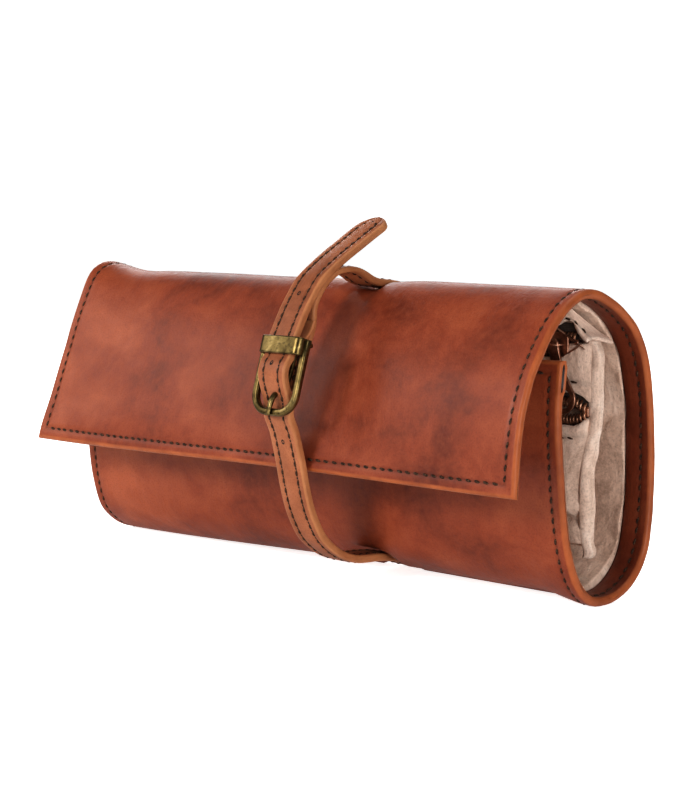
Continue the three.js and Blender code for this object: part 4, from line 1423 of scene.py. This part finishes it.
def zip_tapes(name, z0):
    for sign, word in ((1, "top"), (-1, "bottom")):
        def place(x, s, d, side):
            g = parting(name, x)
            z = z0 + sign * (g + 1.1 + s)
            y = 3.45 + d + 0.15 * n3(x / 12, s / 3, 4.0) + 0.25 * smooth(s / 5) + end_turn(x) * 0.7
            return Vector((x, y, z))
        rows = coil_row(name, z0, sign)
        teeth = merged(f"{name}_coil_{word}", rows, [TEETH])
        finish_piece(teeth, body="leaf", replaces=(f"{name}_teeth_{word}",))
        tape = slab(f"{name}_woven_tape_{word}", place,
                    near_edges(-103, ZIP_END[name] + 0.6, 3, 0.25), near_edges(0, 5.6, 0.7, 0.25),
                    0.6, [TAPE], r=0.25, offset=(0, 40 * sign))
        finish_piece(tape, body="leaf", replaces=(f"{name}_tape_{word}",))
    for sign, word in ((1, "right"), (-1, "left")):
        x = ZIP_END[name] + 0.5 if sign > 0 else -103.2
        y = 2.75 + end_turn(x) * 0.7
        line = [Vector((x, y + back, z0 + up)) for back, up in
                ((0.35, 1.6), (0.05, 0.9), (0, 0), (0.05, -0.9), (0.35, -1.6))]
        stop = merged(f"{name}_metal_stop_{word}",
                      [sweep(line, superellipse(1.3, 0.9, 14, 3), (0, -1, 0))], [COPPER])
        finish_piece(stop, body="leaf", replaces=(f"{name}_stop_{word}",))


def plate(outline, holes, depth, bevel, place):
    """verts, faces of a bevelled plate with holes, from a filled curve. place maps (u, v, w)."""
    curve = bpy.data.curves.new("plate", "CURVE")
    curve.dimensions = "2D"
    curve.fill_mode = "BOTH"
    curve.extrude = depth / 2 - bevel
    curve.bevel_depth = bevel
    curve.bevel_resolution = 3
    for loop in (outline, *holes):
        sp = curve.splines.new("POLY")
        sp.points.add(len(loop) - 1)
        for k, (u, v) in enumerate(loop):
            sp.points[k].co = (u, v, 0, 1)
        sp.use_cyclic_u = True
    tmp = bpy.data.objects.new("plate", curve)
    bpy.context.scene.collection.objects.link(tmp)
    dg = bpy.context.evaluated_depsgraph_get()
    me = tmp.evaluated_get(dg).to_mesh()
    verts = [place(*v.co) for v in me.vertices]
    faces = [tuple(p.vertices) for p in me.polygons]
    tmp.evaluated_get(dg).to_mesh_clear()
    bpy.data.objects.remove(tmp)
    return verts, faces


def rounded(points, r, n=5):
    """A closed outline with its corners rounded."""
    out = []
    m = len(points)
    for k in range(m):
        p, a, b = Vector(points[k]), Vector(points[k - 1]), Vector(points[(k + 1) % m])
        u, v = (a - p).normalized(), (b - p).normalized()
        for j in range(n + 1):
            t = j / n
            q0, q1 = p + u * r, p + v * r
            c = q0 * (1 - t) ** 2 + p * (2 * t * (1 - t)) + q1 * t * t
            out.append((c.x, c.y))
    return out


def circle(cx, cy, r, n=24):
    return [(cx + r * math.cos(2 * math.pi * k / n), cy + r * math.sin(2 * math.pi * k / n))
            for k in range(n)]


def zip_slider(name, z0, x0, toward):
    body = rounded([(-4.3, -2.5), (-1.0, -3.5), (3.0, -3.6), (4.3, -2.9), (4.3, 2.9), (3.0, 3.6),
                    (-1.0, 3.5), (-4.3, 2.5)], 0.9)
    parts = [
        plate(body, [], 1.2, 0.42, lambda u, v, w: Vector((x0 + u * toward, 1.7 + w, z0 + v))),
        plate(body, [], 0.9, 0.36, lambda u, v, w: Vector((x0 + u * toward, 5.0 + w, z0 + v * 0.9))),
        sweep([Vector((x0, y, z0)) for y in (2.1, 3.0, 3.8, 4.7)],
              superellipse(2.6, 0.7, 12, 2.5), (0, 0, 1)),
    ]
    arch = [Vector((x0 + u, 1.3 - 2.45 * math.sin(math.pi * t) ** 0.7, z0)) for t, u in
            ((k / 14, -2.3 + 4.6 * k / 14) for k in range(15))]
    parts.append(sweep(arch, superellipse(1.7, 0.75, 12, 3), (0, -0.3, 1)))
    obj = merged(f"{name}_slider_metal", parts, [COPPER])
    finish_piece(obj, body="upper_slider" if name == "upper_zip" else "lower_slider",
                 replaces=(f"{name}_slider",))
    r, low = 4.6, -17.9
    outline = [(1.85 * math.cos(w), 1.85 * math.sin(w)) for w in [math.pi * k / 12 for k in range(13)]]
    outline += [(-1.6, -3.0), (-1.7, -6.0), (-2.6, -10.5)]
    outline += [(r * math.cos(w), low + r * math.sin(w))
                for w in [math.pi * (0.86 + 1.28 * k / 24) for k in range(25)]]
    outline += [(2.6, -10.5), (1.7, -6.0), (1.6, -3.0)]
    tilt = PULL_TILT[name]
    c, s = math.cos(tilt), math.sin(tilt)

    def hang(u, v, w):
        return Vector((x0 + u * c - v * s, -0.5 + w, z0 + u * s + v * c))
    eyes = [circle(0, 0.1, 1.0), circle(0, low, 3.45, 28)]
    pull = merged(f"{name}_pull_metal", [plate(outline, eyes, 1.0, 0.32, hang)], [COPPER])
    finish_piece(pull, body="upper_pull" if name == "upper_zip" else "lower_pull",
                 replaces=(f"{name}_pull",))


for name, z0, x0, toward in (("upper_zip", UPPER_Z, 95.0, 1), ("lower_zip", LOWER_Z, -94.0, -1)):
    zip_tapes(name, z0)
    zip_slider(name, z0, x0, toward)

# ---- floor, light and camera -----------------------------------------------------------
FLOOR_HALF, FLOOR_Z = 6000, -0.05


def light_level(tree, socket, lighting, seen):
    """What the backdrop gives off as light, and how bright it looks where it is seen."""
    rays = tree.nodes.new("ShaderNodeLightPath")
    level = tree.nodes.new("ShaderNodeMapRange")
    level.inputs["To Min"].default_value = lighting
    level.inputs["To Max"].default_value = seen
    tree.links.new(rays.outputs["Is Camera Ray"], level.inputs["Value"])
    tree.links.new(level.outputs["Result"], socket)


floor_mat = Mat("pale_floor", flat=False)
floor_color = floor_mat.mix(floor_mat.noise(0.002, 0.002, 2, 0.5), (0.93, 0.93, 0.93),
                            (0.97, 0.97, 0.97))
floor_mat.set(Roughness=0.42, Specular_IOR_Level=0.35)
floor_mat.bsdf.inputs["Emission Color"].default_value = (1, 1, 1, 1)
light_level(floor_mat.nt, floor_mat.bsdf.inputs["Emission Strength"], 0.22, 0.85)
corners = [(FLOOR_HALF * u, FLOOR_HALF * v, FLOOR_Z) for u, v in ((-1, -1), (1, -1), (1, 1), (-1, 1))]
new_mesh("stage_floor", corners, [(0, 1, 2, 3)], [floor_mat.done(floor_color)])

world = bpy.data.worlds.new("studio")
world.use_nodes = True
back = world.node_tree.nodes["Background"]
back.inputs["Color"].default_value = (1.0, 1.0, 1.0, 1)
light_level(world.node_tree, back.inputs["Strength"], 0.22, 1.15)
bpy.context.scene.world = world


def softbox(name, at, look, size, power, color=(1, 1, 1)):
    light = bpy.data.lights.new(name, "AREA")
    light.shape = "RECTANGLE"
    light.size, light.size_y = size
    light.energy = power
    light.color = color
    obj = bpy.data.objects.new(name, light)
    obj.location = at
    obj.rotation_euler = (Vector(look) - Vector(at)).to_track_quat("-Z", "Y").to_euler()
    bpy.context.scene.collection.objects.link(obj)


# places and sizes in metres, power in watts
WARM = (1.0, 0.985, 0.96)
softbox("key", (-0.20, -1.12, 0.54), (-0.01, -0.03, 0.06), (0.32, 0.32), 8.0, WARM)
softbox("left", (-1.0, -0.72, 0.62), (-0.05, -0.03, 0.06), (0.6, 0.5), 4.0, WARM)
softbox("top", (0.15, 0.25, 1.0), (0, 0, 0.06), (0.9, 0.35), 3.0)
softbox("right_end", (1.05, -0.50, 0.26), (0.1, 0, 0.05), (0.4, 0.4), 6.0)
softbox("back_left", (-0.85, 0.72, 0.60), (0, 0, 0.1), (0.9, 0.3), 5.0)

camera = bpy.data.cameras.new("camera")
camera.lens = 85.5
camera.sensor_width = 36
camera.clip_start = 0.01
cam = bpy.data.objects.new("camera", camera)
cam.location = (0.4717, -0.4881, 0.1281)
cam.rotation_euler = (math.radians(90 - 5.839), 0, math.radians(43.806))
bpy.context.scene.collection.objects.link(cam)
bpy.context.scene.camera = cam
bpy.context.scene.view_settings.view_transform = "Standard"
bpy.context.scene.view_settings.gamma = 0.8
